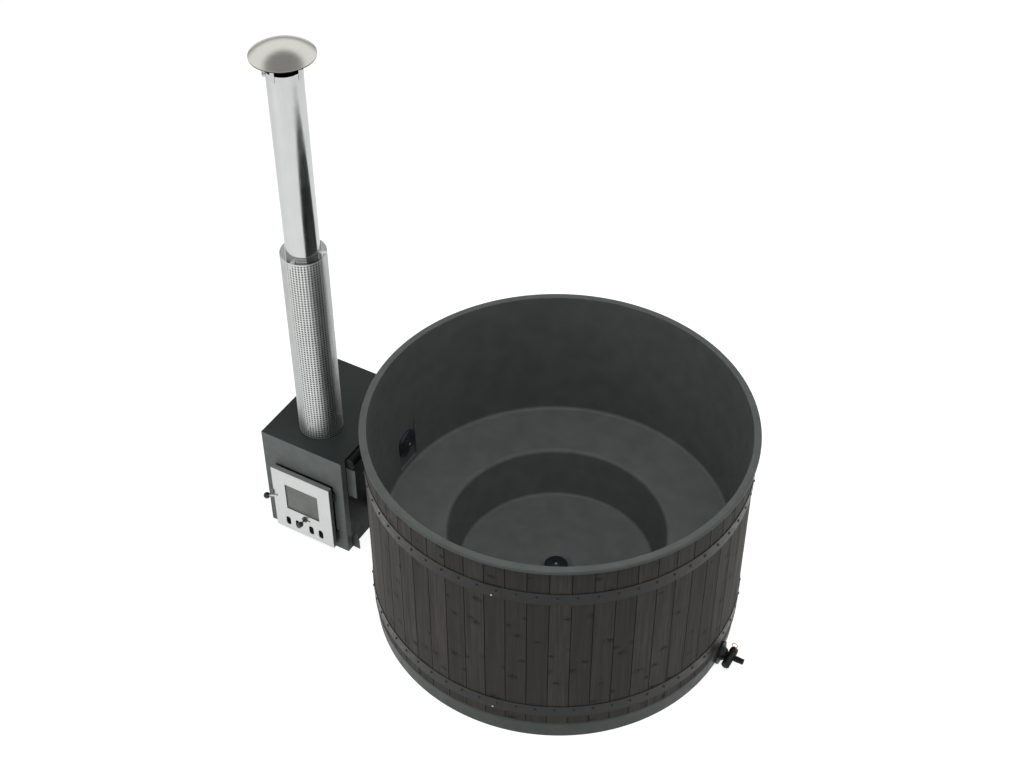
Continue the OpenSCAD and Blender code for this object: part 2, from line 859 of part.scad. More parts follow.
module angle_plate(w, span) {
  box(stove_x1, stove_x1 + w, bracket_y, bracket_y + bracket_t, span[0], span[1]);
  box(stove_x1, stove_x1 + bracket_t, bracket_y, bracket_y + bracket_leaf, span[0], span[1]);
}
module side_bracket() { color("#777c7d") angle_plate(side_bracket_w, side_bracket_z); }
module foot_bracket() { color("#777c7d") angle_plate(foot_bracket_w, foot_bracket_z); }

module bracket_bolts() {
  color("#1d1f20")
  for (z = bolt_zs)
    translate([stove_x1 + bracket_t, bolt_y, z]) along_x() cylinder(h = bolt_h, r = bolt_r, $fn = 6);
}

// Hinges: leaves and pins on the front panel, knuckles on the door
knuckle_h = 26;
knuckle_gap = 0.4;
low_knuckle = 3.6;
high_knuckle = 17;
leaf_r = 5.6;
leaf_len = 24;
leaf_t = 2;
tab_t = 3;

module door_hinges() {
  below = low_knuckle + knuckle_gap;
  color("#2d3031")
  for (z = hinge_zs) {
    box(hinge_x - leaf_len, hinge_x - leaf_r - 1, stove_y - leaf_t, stove_y,
        z - below, z + knuckle_h + knuckle_gap + high_knuckle);
    for (k = [[z - below, low_knuckle], [z + knuckle_h + knuckle_gap, high_knuckle]]) {
      translate([hinge_x, hinge_y, k[0]]) cylinder(h = k[1], r = leaf_r, $fn = small);
      box(hinge_x - leaf_r - 2, hinge_x, stove_y - tab_t, stove_y, k[0], k[0] + k[1]);
    }
    translate([hinge_x, hinge_y, z - below])
      cylinder(h = knuckle_h + below + 10, r = hinge_pin_r, $fn = small);
  }
}

knuckle_t = 4;

module door_knuckles() {
  color("#2d3031")
  difference() {
    for (z = hinge_zs) {
      translate([hinge_x, hinge_y, z]) cylinder(h = knuckle_h, r = leaf_r, $fn = small);
      box(hinge_x - leaf_len, hinge_x, door_back, door_back + knuckle_t, z, z + knuckle_h);
    }
    for (z = hinge_zs)
      translate([hinge_x, hinge_y, z - air])
        cylinder(h = knuckle_h + 2 * air, r = hinge_pin_r + turn_gap, $fn = small);
  }
}

// Keeper on the panel: the latch's tongue lies under it while the door is shut
tongue_y = stove_y - 8;
tongue_r = 3.6;
keeper_x = door_x0 - 12;

function arm_z(x) = latch_z + (x - latch_x) * tan(latch_drop);

keeper_r = 6;
keeper_len = 13;
keeper_gap = 3.4;
keeper_half = 9;
keeper_h = 30;

module latch_catch() {
  z = arm_z(keeper_x) + tongue_r / cos(latch_drop) + keeper_gap;
  color("#2d3031") {
    translate([keeper_x, stove_y - keeper_len, z + keeper_r]) along_y()
      cylinder(h = keeper_len, r = keeper_r, $fn = small);
    box(keeper_x - keeper_half, keeper_x + keeper_half, stove_y - leaf_t, stove_y, z, z + keeper_h);
  }
}

// Door: folded frame, stainless front plate, glass, retainer and rope gasket
frame_t = 3;
glass_lap = 8;
glass_t = 5;

module slot_at(x, y0, y1) {
  translate([x, y0, slot_z]) along_y() linear_extrude(y1 - y0) {
    square([slot_w, slot_h - slot_w], center = true);
    for (s = [-1, 1]) translate([0, s * (slot_h - slot_w) / 2]) circle(d = slot_w, $fn = small);
  }
}
module air_slots(y0, y1) {
  for (s = [-slot_far, -slot_near, slot_near, slot_far]) slot_at(door_mid + s, y0, y1);
}

lug_x = door_x0 - 6.8;
lug_z = 245;
lug_r = 10.6;
lug_rise = 6.9;
lug_t = 5;
stem_r = 5;
stem_gap = 0.05;
deep = 10;

module latch_lug() {
  y = door_front - plate_t;
  translate([lug_x, y - lug_t, lug_z]) along_y() linear_extrude(lug_t) {
    for (s = [-1, 1]) translate([0, s * lug_rise]) circle(r = lug_r, $fn = small);
    square([2 * lug_r, 2 * lug_rise], center = true);
  }
  box(door_x0 - 5, door_x0, y - eps, door_back, lug_z - lug_r, lug_z + lug_r);
}

// Long hole that the damper's stem slides in, and the round hole that the latch's stem turns in
module stem_slot(y0, y1, side, half) {
  box(damper_x - side, damper_x + slot_w + side, y0, y1, damper_knob_z - half, damper_knob_z + half);
}
module stem_hole() {
  translate([latch_x, door_front - 2 * deep, latch_z]) along_y()
    cylinder(h = 6 * deep, r = stem_r + stem_gap, $fn = small);
}

module door_frame() {
  color("#4a4f50")
  difference() {
    union() {
      box(door_x0, door_x1, door_front, door_back, door_z, door_z + door_h);
      latch_lug();
    }
    box(door_x0 + frame_t, door_x1 - frame_t, door_front + frame_t, door_back - frame_t,
        door_z + frame_t, door_z + door_h - frame_t);
    box(fire_x0 + 10, fire_x1 - 10, door_back - deep, door_back + air, fire_z0 + 12, fire_z1 - 10);
    box(window_x0 - 2, window_x0 + window_w + 2, door_front - air, door_front + deep,
        window_z - 2, window_z + window_h + 2);
    air_slots(door_front - air, door_front + deep);
    stem_slot(door_front - air, door_front + deep, 8, 6);
    stem_hole();
  }
}

module door_plate() {
  color("#d6d6d3")
  difference() {
    box(door_x0, door_x1, door_front - plate_t, door_front, door_z, door_z + door_h);
    box(window_x0, window_x0 + window_w, door_front - 2 * plate_t, door_front + air,
        window_z, window_z + window_h);
    air_slots(door_front - 2 * plate_t, door_front + air);
    stem_slot(door_front - 2 * plate_t, door_front + air, 5, 4);
    stem_hole();
  }
}

module door_glass() {
  color("#5c6062", 0.5)
  box(window_x0 - glass_lap, window_x0 + window_w + glass_lap,
      door_front + frame_t, door_front + frame_t + glass_t,
      window_z - glass_lap, window_z + window_h + glass_lap);
}

retainer_t = 4;
retainer_lap = 20;
retainer_foot = 16;
retainer_in = 4;

module glass_retainer() {
  y = door_front + frame_t + glass_t;
  color("#2d3031")
  difference() {
    box(window_x0 - retainer_lap, window_x0 + window_w + retainer_lap, y, y + retainer_t,
        window_z - retainer_foot, window_z + window_h + retainer_lap);
    box(window_x0 + retainer_in, window_x0 + window_w - retainer_in, y - air, y + retainer_t + air,
        window_z + retainer_in, window_z + window_h - retainer_in);
  }
}

rope_out = 14;
rope_in = 2;
rope_gap = 0.4;

module door_gasket() {
  color("#b8b4a8")
  difference() {
    box(fire_x0 - rope_out, fire_x1 + rope_out, door_back, stove_y - rope_gap,
        fire_z0 - rope_out, fire_z1 + rope_out);
    box(fire_x0 - rope_in, fire_x1 + rope_in, door_back - air, stove_y, fire_z0 - rope_in, fire_z1 + rope_in);
  }
}

// Air damper: sliding plate behind the front plate, moved by a ball knob
damper_y = door_front + frame_t + 0.3;
damper_t = 2;
damper_half = 122;
damper_low = slot_z - 36;
damper_high = slot_z + 34;
tab_half = 14;
tab_over = 11;
rod_r = 3.45;

module damper_slide() {
  color("#8b8e90")
  difference() {
    union() {
      box(door_mid - damper_half, door_mid + damper_half, damper_y, damper_y + damper_t,
          damper_low, damper_high);
      box(damper_x - tab_half, damper_x + tab_half, damper_y, damper_y + damper_t,
          damper_high - 4, damper_knob_z + tab_over);
    }
    air_slots(damper_y - air, damper_y + damper_t + air);
    translate([damper_x, damper_y - air, damper_knob_z]) along_y()
      cylinder(h = damper_t + 2 * air, r = rod_r + stem_gap, $fn = small);
  }
}

knob_r = 14;
knob_out = 36;
rose_r = 14.5;
rose_t = 4;
rose_gap = 0.4;

module damper_knob() {
  y = door_front - plate_t;
  color("#151515") {
    translate([damper_x, y - knob_out, damper_knob_z]) sphere(r = knob_r, $fn = mid);
    translate([damper_x, y - rose_t - rose_gap, damper_knob_z]) along_y()
      cylinder(h = rose_t, r = rose_r, $fn = small);
  }
  color("#c9cacb")
    translate([damper_x, y - knob_out, damper_knob_z]) along_y()
      cylinder(h = knob_out + damper_y - y + damper_t, r = rod_r, $fn = small);
}

// Door latch: one stem through the door, with the handle's arm in front and the tongue behind
arm_y = door_front - plate_t - 3.6;
arm_half = 4;
arm_t = 3;
hub_r = 6;
socket_in = 20;
socket_r = 3.6;
tongue_len = 44;
latch_ball_r = 16;

module toward_knob(y, d) {
  translate([latch_x, y, latch_z]) rotate([0, -90 - latch_drop, 0]) translate([0, 0, d]) children();
}

module latch_lever() {
  color("#c9cacb") {
    translate([latch_x, arm_y - 2, latch_z]) along_y()
      cylinder(h = tongue_y + 4 - arm_y, r = stem_r, $fn = small);
    translate([latch_x, arm_y - arm_t / 2, latch_z]) along_y() cylinder(h = arm_t, r = hub_r, $fn = small);
    toward_knob(arm_y, 0)
      translate([-arm_half, -arm_t / 2, 0]) cube([2 * arm_half, arm_t, latch_len - socket_in]);
    toward_knob(arm_y, latch_len - socket_in - 4) cylinder(h = socket_in, r = socket_r, $fn = small);
    toward_knob(tongue_y, 0) cylinder(h = tongue_len, r = tongue_r, $fn = small);
  }
}
module latch_knob() {
  color("#151515")
  toward_knob(arm_y, latch_len) difference() {
    sphere(r = latch_ball_r, $fn = mid);
    translate([0, 0, -latch_ball_r - 3]) cylinder(h = latch_ball_r - 1, r = socket_r + stem_gap, $fn = small);
  }
}

// Flue, heat shield and rain cap
module up(z) { translate([flue_x, flue_y, z]) children(); }

collar_plate_t = 3;
collar_plate_w = 14;
collar_h = 16;
collar_wall = 3;
flue_t = 1.5;
flue_facets = 96;

module flue_collar() {
  color("#34393a")
  up(stove_h) difference() {
    union() {
      cylinder(h = collar_plate_t, r = flue_r + collar_plate_w, $fn = mid);
      cylinder(h = collar_h, r = flue_r + collar_wall, $fn = mid);
    }
    translate([0, 0, -air]) cylinder(h = collar_h + 2 * air, r = flue_r + plastic_fit, $fn = mid);
  }
}

module flue_pipe() {
  color("#c4c6c6")
  up(jacket_z1) difference() {
    cylinder(h = flue_top - jacket_z1, r = flue_r, $fn = flue_facets);
    translate([0, 0, -air])
      cylinder(h = flue_top - jacket_z1 + 2 * air, r = flue_r - flue_t, $fn = flue_facets);
  }
}

shield_low = stove_h + 4;
shield_t = 1.2;
module heat_shield() {
  color("#b4b7b7")
  up(shield_low) difference() {
    cylinder(h = shield_top - shield_low, r = shield_r, $fn = flue_facets);
    translate([0, 0, -air]) cylinder(h = shield_top, r = shield_r - shield_t, $fn = flue_facets);
  }
}

// Bent strip between the pipe and the shield
strip_t = 1.5;
strip_w = 18;
strip_h = 25.5;
strip_r = shield_r - shield_t - strip_t - 0.5;

module spacer() {
  translate([flue_r, -strip_w / 2, 0]) cube([strip_t, strip_w, strip_h + 0.5]);
  translate([flue_r + 1, -strip_w / 2, strip_h - strip_t])
    cube([strip_r + strip_t - flue_r - 1.3, strip_w, strip_t]);
  translate([strip_r, -strip_w / 2, 0]) cube([strip_t, strip_w, strip_h]);
}
module shield_spacers() {
  color("#9a9d9d")
  for (z = [shield_low + 40, shield_top - 34], a = [30 : 120 : 270])
    up(z) rotate([0, 0, a]) spacer();
}

band_w = 34;
band_t = 1.4;
band_turn = -140;
band_split = 5;
lug_out = 12;
lug_w = 14;
bolt_out = 7.5;
bolt_shank_r = 3;
bolt_half = 14;
bolt_head_r = 5.8;
bolt_head_t = 5;

module at_bolt() {
  at_turn(band_turn) translate([flue_r + bolt_out, 0, 0]) rotate([90, 0, 0]) children();
}

module cap_band() {
  color("#c4c6c6")
  up(flue_top - band_w) difference() {
    union() {
      cylinder(h = band_w, r = flue_r + band_t, $fn = flue_facets);
      at_turn(band_turn) translate([flue_r, -lug_w / 2, 4]) cube([lug_out, lug_w, band_w - 8]);
    }
    translate([0, 0, -air]) cylinder(h = band_w + 2 * air, r = flue_r + eps, $fn = flue_facets);
    at_turn(band_turn) translate([flue_r - band_split, -band_split / 2, -air])
      cube([6 * band_split, band_split, band_w + 2 * air]);
    translate([0, 0, band_w / 2]) at_bolt()
      cylinder(h = 40, r = bolt_shank_r + plastic_fit, center = true, $fn = small);
  }
}

module cap_bolt() {
  color("#9a9d9d")
  up(flue_top - band_w / 2) at_bolt() {
    cylinder(h = 2 * bolt_half, r = bolt_shank_r, center = true, $fn = small);
    for (z = [-lug_w / 2 - bolt_head_t, lug_w / 2])
      translate([0, 0, z]) cylinder(h = bolt_head_t, r = bolt_head_r, $fn = 6);
  }
}

// Spun dome with a small turned-down rim, on four bent legs
dome_r = (cap_r * cap_r + cap_rise * cap_rise) / (2 * cap_rise);
dome_a = asin(cap_r / dome_r);
dome_base = cap_z + cap_rise - dome_r;
cap_t = 1.5;
cap_edge = 6;
leg_t = 1.5;
leg_w = 20;
leg_r = flue_r + band_t;
foot_len = 22;

function under_dome(x) = dome_base + sqrt(pow(dome_r - cap_t, 2) - x * x - leg_w * leg_w / 4) - 0.1;

module leg_profile() {
  low = flue_top - band_w + 4;
  high = under_dome(leg_r);
  tip = under_dome(leg_r + foot_len);
  slope = (high - tip) / foot_len;
  drop = leg_t * sqrt(1 + slope * slope);
  polygon([
    [leg_r, low], [leg_r, high], [leg_r + foot_len, tip], [leg_r + foot_len, tip - drop],
    [leg_r + leg_t, high - leg_t * slope - drop], [leg_r + leg_t, low]]);
}

module cap_legs() {
  color("#c4c6c6")
  up(0) for (a = [0 : 90 : 270])
    rotate([90, 0, a]) linear_extrude(leg_w, center = true) leg_profile();
}

module rain_cap() {
  color("#a9a69c")
  up(0) rotate_extrude($fn = flue_facets)
    polygon(concat(
      arc(0, dome_base, dome_r, 90, 90 - dome_a, 12),
      [[cap_r, cap_z - cap_edge], [cap_r - cap_t, cap_z - cap_edge]],
      arc(0, dome_base, dome_r - cap_t, 90 - dome_a, 90, 12)));
}

tub_liner();
base_pan();
staves_front();
staves_right();
staves_back();
staves_left();
staves_drilled();
upper_hoop();
lower_hoop();
upper_hoop_screws();
lower_hoop_screws();
hoop_rivets();
return_fitting();
return_grille();
return_screw();
return_nut();
drain_body();
drain_strainer();
drain_screw();
drain_tee();
drain_pipe();
valve_flange();
valve_body();
valve_plug();
valve_spindle();
valve_ring();
cold_pipe();
cold_stub();
hot_header();
header_plug();
hot_hose();
hose_clamps();
stove_front();
stove_casing();
stove_floor();
water_jacket();
fire_grate();
side_bracket();
foot_bracket();
bracket_bolts();
door_hinges();
latch_catch();
door_frame();
door_plate();
door_glass();
glass_retainer();
door_gasket();
door_knuckles();
damper_slide();
damper_knob();
latch_lever();
latch_knob();
flue_collar();
flue_pipe();
heat_shield();
shield_spacers();
cap_band();
cap_bolt();
cap_legs();
rain_cap();
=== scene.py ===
import json
from math import asin, cos, degrees, pi, radians, sin, tan

import bmesh
import bpy
from mathutils import Matrix, Vector

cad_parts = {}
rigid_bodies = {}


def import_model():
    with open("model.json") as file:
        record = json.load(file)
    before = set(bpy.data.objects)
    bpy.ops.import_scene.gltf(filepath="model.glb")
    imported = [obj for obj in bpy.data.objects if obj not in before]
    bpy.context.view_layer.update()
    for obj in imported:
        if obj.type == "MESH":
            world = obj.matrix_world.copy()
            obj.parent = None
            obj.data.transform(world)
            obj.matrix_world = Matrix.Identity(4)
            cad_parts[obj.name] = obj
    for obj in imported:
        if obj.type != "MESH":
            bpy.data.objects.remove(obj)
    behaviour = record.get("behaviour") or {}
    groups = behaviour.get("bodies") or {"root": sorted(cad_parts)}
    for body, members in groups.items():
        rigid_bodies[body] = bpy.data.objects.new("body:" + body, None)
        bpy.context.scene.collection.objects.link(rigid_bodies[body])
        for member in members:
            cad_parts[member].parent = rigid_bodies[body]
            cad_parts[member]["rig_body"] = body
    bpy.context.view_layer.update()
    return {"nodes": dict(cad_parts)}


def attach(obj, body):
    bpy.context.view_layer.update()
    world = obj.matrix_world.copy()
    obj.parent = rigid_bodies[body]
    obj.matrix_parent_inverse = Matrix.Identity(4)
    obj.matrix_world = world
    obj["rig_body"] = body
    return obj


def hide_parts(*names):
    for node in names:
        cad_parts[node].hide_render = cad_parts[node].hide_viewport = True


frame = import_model()
nodes = frame["nodes"]
scene = bpy.context.scene
mm = 0.001
white = (1.0, 1.0, 1.0, 1.0)
print("frame loaded,", len(nodes), "nodes")

# Camera: high above the tub's front, turned so that the stove stands on the left
view = {"place": (2.3474, -4.4956, 5.8972), "tilt": 47.675, "turn": 29.84, "lens": 58.64, "sensor": 36.0,
        "far": 60.0}

lens = bpy.data.cameras.new("viewLens")
lens.lens = view["lens"]
lens.sensor_width = view["sensor"]
lens.clip_end = view["far"]
camera = bpy.data.objects.new("viewCamera", lens)
camera.location = view["place"]
camera.rotation_euler = (radians(view["tilt"]), 0.0, radians(view["turn"]))
scene.collection.objects.link(camera)
scene.camera = camera
scene.view_settings.view_transform = "Standard"


# sRGB hex colour as the linear values that a shader takes
def linear(hexColour):
    parts = [int(hexColour[k:k + 2], 16) / 255 for k in (1, 3, 5)]
    return tuple(c / 12.92 if c <= 0.04045 else ((c + 0.055) / 1.055) ** 2.4 for c in parts) + (1.0,)


# Adds one node, sets its fields, and fills or links its inputs
def addNode(tree, kind, inputs=None, **fields):
    node = tree.nodes.new(kind)
    for key, value in fields.items():
        setattr(node, key, value)
    for key, value in (inputs or {}).items():
        if isinstance(value, bpy.types.NodeSocket):
            tree.links.new(value, node.inputs[key])
        else:
            node.inputs[key].default_value = value
    return node


# Room: a pale floor that reads white to the eye and in reflections, and keeps the shadow;
# in reflections the sky is dimmer straight overhead and near the horizon
room = {"sky": 0.2, "ceiling": 0.3, "ceilingFrom": 0.72, "ceilingTo": 0.9, "horizon": 0.3,
        "horizonFrom": -0.05, "horizonTo": 0.35, "floorTone": 0.8, "floorSeen": 0.5, "floorGlow": 0.85,
        "floorMirrored": 0.6, "floorDrop": 0.6, "floorHalf": 30.0}


# 1 for what the eye, a mirror or glass sees, 0 for light that falls on the object
def seenMask(tree):
    path = addNode(tree, "ShaderNodeLightPath").outputs
    seen = addNode(tree, "ShaderNodeMath", {0: path["Is Camera Ray"], 1: path["Is Glossy Ray"]},
                   operation="MAXIMUM").outputs[0]
    return addNode(tree, "ShaderNodeMath", {0: seen, 1: path["Is Transmission Ray"]},
                   operation="MAXIMUM").outputs[0]


def buildSky():
    world = bpy.data.worlds.new("studio")
    scene.world = world
    world.use_nodes = True
    tree = world.node_tree
    tree.nodes.clear()
    way = addNode(tree, "ShaderNodeTexCoord").outputs["Generated"]
    up = addNode(tree, "ShaderNodeSeparateXYZ", {0: way}).outputs[2]
    high = addNode(tree, "ShaderNodeMapRange", {
        0: up, 1: room["ceilingFrom"], 2: room["ceilingTo"], 3: 1.0, 4: room["ceiling"]},
        interpolation_type="SMOOTHSTEP").outputs[0]
    low = addNode(tree, "ShaderNodeMapRange", {
        0: up, 1: room["horizonFrom"], 2: room["horizonTo"], 3: room["horizon"], 4: 1.0},
        interpolation_type="SMOOTHSTEP").outputs[0]
    mirrored = addNode(tree, "ShaderNodeMath", {0: high, 1: low}, operation="MULTIPLY").outputs[0]
    glossy = addNode(tree, "ShaderNodeLightPath").outputs["Is Glossy Ray"]
    seen = addNode(tree, "ShaderNodeMapRange", {0: glossy, 3: 1.0, 4: mirrored}).outputs[0]
    strength = addNode(tree, "ShaderNodeMapRange", {0: seenMask(tree), 3: room["sky"], 4: seen}).outputs[0]
    sky = addNode(tree, "ShaderNodeBackground", {"Color": white, "Strength": strength})
    addNode(tree, "ShaderNodeOutputWorld", {"Surface": sky.outputs[0]})


def buildFloor():
    paint = bpy.data.materials.new("floorWhite")
    paint.use_nodes = True
    tree = paint.node_tree
    tree.nodes.clear()
    mask = seenMask(tree)
    tone = addNode(tree, "ShaderNodeMapRange", {0: mask, 3: room["floorTone"], 4: room["floorSeen"]})
    grey = addNode(tree, "ShaderNodeCombineColor", {k: tone.outputs[0] for k in (0, 1, 2)}).outputs[0]
    matt = addNode(tree, "ShaderNodeBsdfDiffuse", {"Color": grey})
    direct = addNode(tree, "ShaderNodeLightPath").outputs["Is Camera Ray"]
    shown = addNode(tree, "ShaderNodeMapRange", {0: direct, 3: room["floorMirrored"], 4: room["floorGlow"]})
    glow = addNode(tree, "ShaderNodeMath", {0: mask, 1: shown.outputs[0]}, operation="MULTIPLY").outputs[0]
    light = addNode(tree, "ShaderNodeEmission", {"Color": white, "Strength": glow})
    both = addNode(tree, "ShaderNodeAddShader", {0: matt.outputs[0], 1: light.outputs[0]})
    addNode(tree, "ShaderNodeOutputMaterial", {"Surface": both.outputs[0]})

    half, drop = room["floorHalf"], -room["floorDrop"] * mm
    flat = bpy.data.meshes.new("floor")
    flat.from_pydata([(-half, -half, drop), (half, -half, drop), (half, half, drop), (-half, half, drop)], [],
                     [(0, 1, 2, 3)])
    flat.materials.append(paint)
    floor = bpy.data.objects.new("floor", flat)
    scene.collection.objects.link(floor)


lampSettings = [
    {"name": "overhead", "place": (0.6, -1.0, 5.6), "aim": (0.0, 0.0, 0.6), "size": 4.5, "power": 205.0},
    {"name": "frontLeft", "place": (-4.6, -5.0, 3.4), "aim": (-0.4, 0.0, 0.5), "size": 3.0, "power": 100.0},
    {"name": "backRight", "place": (4.6, 3.6, 4.0), "aim": (0.0, 0.0, 0.6), "size": 3.0, "power": 45.0},
]


def buildLamps():
    for setting in lampSettings:
        light = bpy.data.lights.new(setting["name"], "AREA")
        light.shape = "DISK"
        light.size = setting["size"]
        light.energy = setting["power"]
        lamp = bpy.data.objects.new(setting["name"], light)
        lamp.visible_glossy = False
        place = Vector(setting["place"])
        lamp.location = place
        lamp.rotation_euler = (Vector(setting["aim"]) - place).to_track_quat("-Z", "Y").to_euler()
        scene.collection.objects.link(lamp)


buildSky()
buildFloor()
buildLamps()
print("room, lamps and camera ready")

# Where the chimney stands, in millimetres
chimneyAxis = (-1181.0, -109.0)


# Shader with its fixed values; patterns are linked on top of it afterwards
def newFinish(name, colour, metallic=0.0, roughness=0.5, gleam=0.5, **extra):
    material = bpy.data.materials.new(name)
    material.use_nodes = True
    tree = material.node_tree
    tree.nodes.clear()
    shader = addNode(tree, "ShaderNodeBsdfPrincipled",
                     {"Base Color": linear(colour), "Metallic": metallic, "Roughness": roughness,
                      "Specular IOR Level": gleam, **extra})
    addNode(tree, "ShaderNodeOutputMaterial", {"Surface": shader.outputs[0]})
    return material, tree, shader


# Soft random pattern whose blots are about size millimetres, longer where long says so
def blots(tree, size, long=(1.0, 1.0, 1.0), detail=3.0, rough=0.5, place=None):
    if place is None:
        place = addNode(tree, "ShaderNodeTexCoord").outputs["Object"]
    scale = [1.0 / (size * mm * k) for k in long]
    scaled = addNode(tree, "ShaderNodeMapping", {"Vector": place, "Scale": scale}).outputs[0]
    return addNode(tree, "ShaderNodeTexNoise", {"Vector": scaled, "Scale": 1.0, "Detail": detail,
                                                "Roughness": rough}).outputs[0]


# Lays a colour over a tone: the least of it where the pattern is low, the most where it is high
def tint(tree, tone, colour, pattern, low=0.0, high=1.0, least=0.0, most=1.0):
    share = addNode(tree, "ShaderNodeMapRange", {0: pattern, 1: low, 2: high, 3: least, 4: most}).outputs[0]
    return addNode(tree, "ShaderNodeMix", {0: share, 6: tone, 7: linear(colour)}, data_type="RGBA").outputs[2]


# Gives the shader its tone, and a roughness that wavers between two values as the pattern does
def wear(tree, shader, tone, pattern, smooth, rough):
    tree.links.new(tone, shader.inputs["Base Color"])
    uneven = addNode(tree, "ShaderNodeMapRange", {0: pattern, 1: 0.3, 2: 0.7, 3: smooth, 4: rough}).outputs[0]
    tree.links.new(uneven, shader.inputs["Roughness"])
    return uneven


def relief(tree, shader, height, strength, distance, under=None):
    inputs = {"Height": height, "Strength": strength, "Distance": distance * mm}
    if under is not None:
        inputs["Normal"] = under
    bump = addNode(tree, "ShaderNodeBump", inputs)
    tree.links.new(bump.outputs[0], shader.inputs["Normal"])
    return bump.outputs[0]


# The object's own x, y and z in metres
def placeParts(tree):
    place = addNode(tree, "ShaderNodeTexCoord").outputs["Object"]
    return addNode(tree, "ShaderNodeSeparateXYZ", {0: place}).outputs


# Distance in metres from the chimney's axis, or from a point on it when a height is given
def fromChimney(tree, height=None):
    place = addNode(tree, "ShaderNodeTexCoord").outputs["Object"]
    centre = (chimneyAxis[0] * mm, chimneyAxis[1] * mm, (height or 0) * mm)
    moved = addNode(tree, "ShaderNodeVectorMath", {0: place, 1: centre}, operation="SUBTRACT").outputs[0]
    if height is None:
        moved = addNode(tree, "ShaderNodeVectorMath", {0: moved, 1: (1, 1, 0)},
                        operation="MULTIPLY").outputs[0]
    return addNode(tree, "ShaderNodeVectorMath", {0: moved}, operation="LENGTH").outputs["Value"]


# Rotomoulded polyethylene: cloudy tone, a fine pebbled skin and slightly uneven gloss
mouldedSkin = {"cloud": 90, "fleck": 3.5, "sheen": 40, "wave": 70, "pebble": 1.6}


def mouldedPlastic(name, dark, light, gloss, gleam):
    s = mouldedSkin
    material, tree, shader = newFinish(name, dark, roughness=gloss, gleam=gleam, IOR=1.5)
    tone = tint(tree, linear(dark), light, blots(tree, s["cloud"], detail=4), 0.35, 0.65)
    tone = tint(tree, tone, light, blots(tree, s["fleck"], detail=2), 0.3, 0.7, most=0.18)
    wear(tree, shader, tone, blots(tree, s["sheen"]), gloss - 0.05, gloss + 0.08)
    wave = relief(tree, shader, blots(tree, s["wave"], detail=1), 0.15, 1.0)
    relief(tree, shader, blots(tree, s["pebble"], detail=2), 0.14, 0.2, wave)
    return material


# Sawn spruce under a dark stain: streaks along each board, slanted knots, boards that differ a little;
# sizes in millimetres, knot cells in metres
stain = {"dark": "#32302d", "light": "#4a4641", "patch": "#383634", "streak": "#2f2d29", "grain": "#2a2826",
         "pale": "#5b5750", "joint": "#100f0f", "halo": "#292725", "knot": "#171615",
         "bendSize": 60, "raggedSize": 14, "fineSize": 1.5, "broadSize": 9, "patchSize": 38,
         "boardJump": (7.3, 3.1, 19.7), "sway": 0.006, "knotTurn": 24, "knotWide": 0.088, "knotHigh": 0.062,
         "knotShare": 0.27, "knotReach": (0.1, 0.22), "knotEdge": (0.55, 1.25), "haloEdge": (0.8, 2.6),
         "ragged": 0.16, "jointFrom": 0.0412, "jointTo": 0.0430}


# Knots: a few cells hold one, wider than tall, with a ragged rim and a soft shadow round it
def knotPattern(tree, place, flow):
    s = stain
    ragged = blots(tree, s["raggedSize"], place=place)
    slant = addNode(tree, "ShaderNodeMapping", {
        "Vector": flow, "Rotation": (0, radians(s["knotTurn"]), 0),
        "Scale": (1 / s["knotWide"], 0.0, 1 / s["knotHigh"])}).outputs[0]
    parts = addNode(tree, "ShaderNodeSeparateXYZ", {0: slant}).outputs
    shake = addNode(tree, "ShaderNodeMapRange", {
        0: ragged, 1: 0.2, 2: 0.8, 3: -s["ragged"], 4: s["ragged"]}).outputs[0]
    across = addNode(tree, "ShaderNodeMath", {0: parts[0], 1: shake}, operation="ADD").outputs[0]
    upward = addNode(tree, "ShaderNodeMath", {0: parts[2], 1: shake}, operation="SUBTRACT").outputs[0]
    flat = addNode(tree, "ShaderNodeCombineXYZ", {0: across, 1: upward}).outputs[0]
    cell = addNode(tree, "ShaderNodeTexVoronoi", {"Vector": flat, "Scale": 1.0, "Randomness": 0.9},
                   voronoi_dimensions="2D").outputs
    chance = addNode(tree, "ShaderNodeSeparateColor", {0: cell["Color"]}).outputs
    holds = addNode(tree, "ShaderNodeMath", {0: chance[0], 1: s["knotShare"]},
                    operation="LESS_THAN").outputs[0]
    smallest, largest = s["knotReach"]
    reach = addNode(tree, "ShaderNodeMapRange", {0: chance[1], 3: smallest, 4: largest}).outputs[0]
    core = addNode(tree, "ShaderNodeMath", {0: cell["Distance"], 1: reach}, operation="DIVIDE").outputs[0]
    return [addNode(tree, "ShaderNodeMapRange", {0: core, 1: near, 2: far, 3: holds, 4: 0.0}).outputs[0]
            for near, far in (s["knotEdge"], s["haloEdge"])]


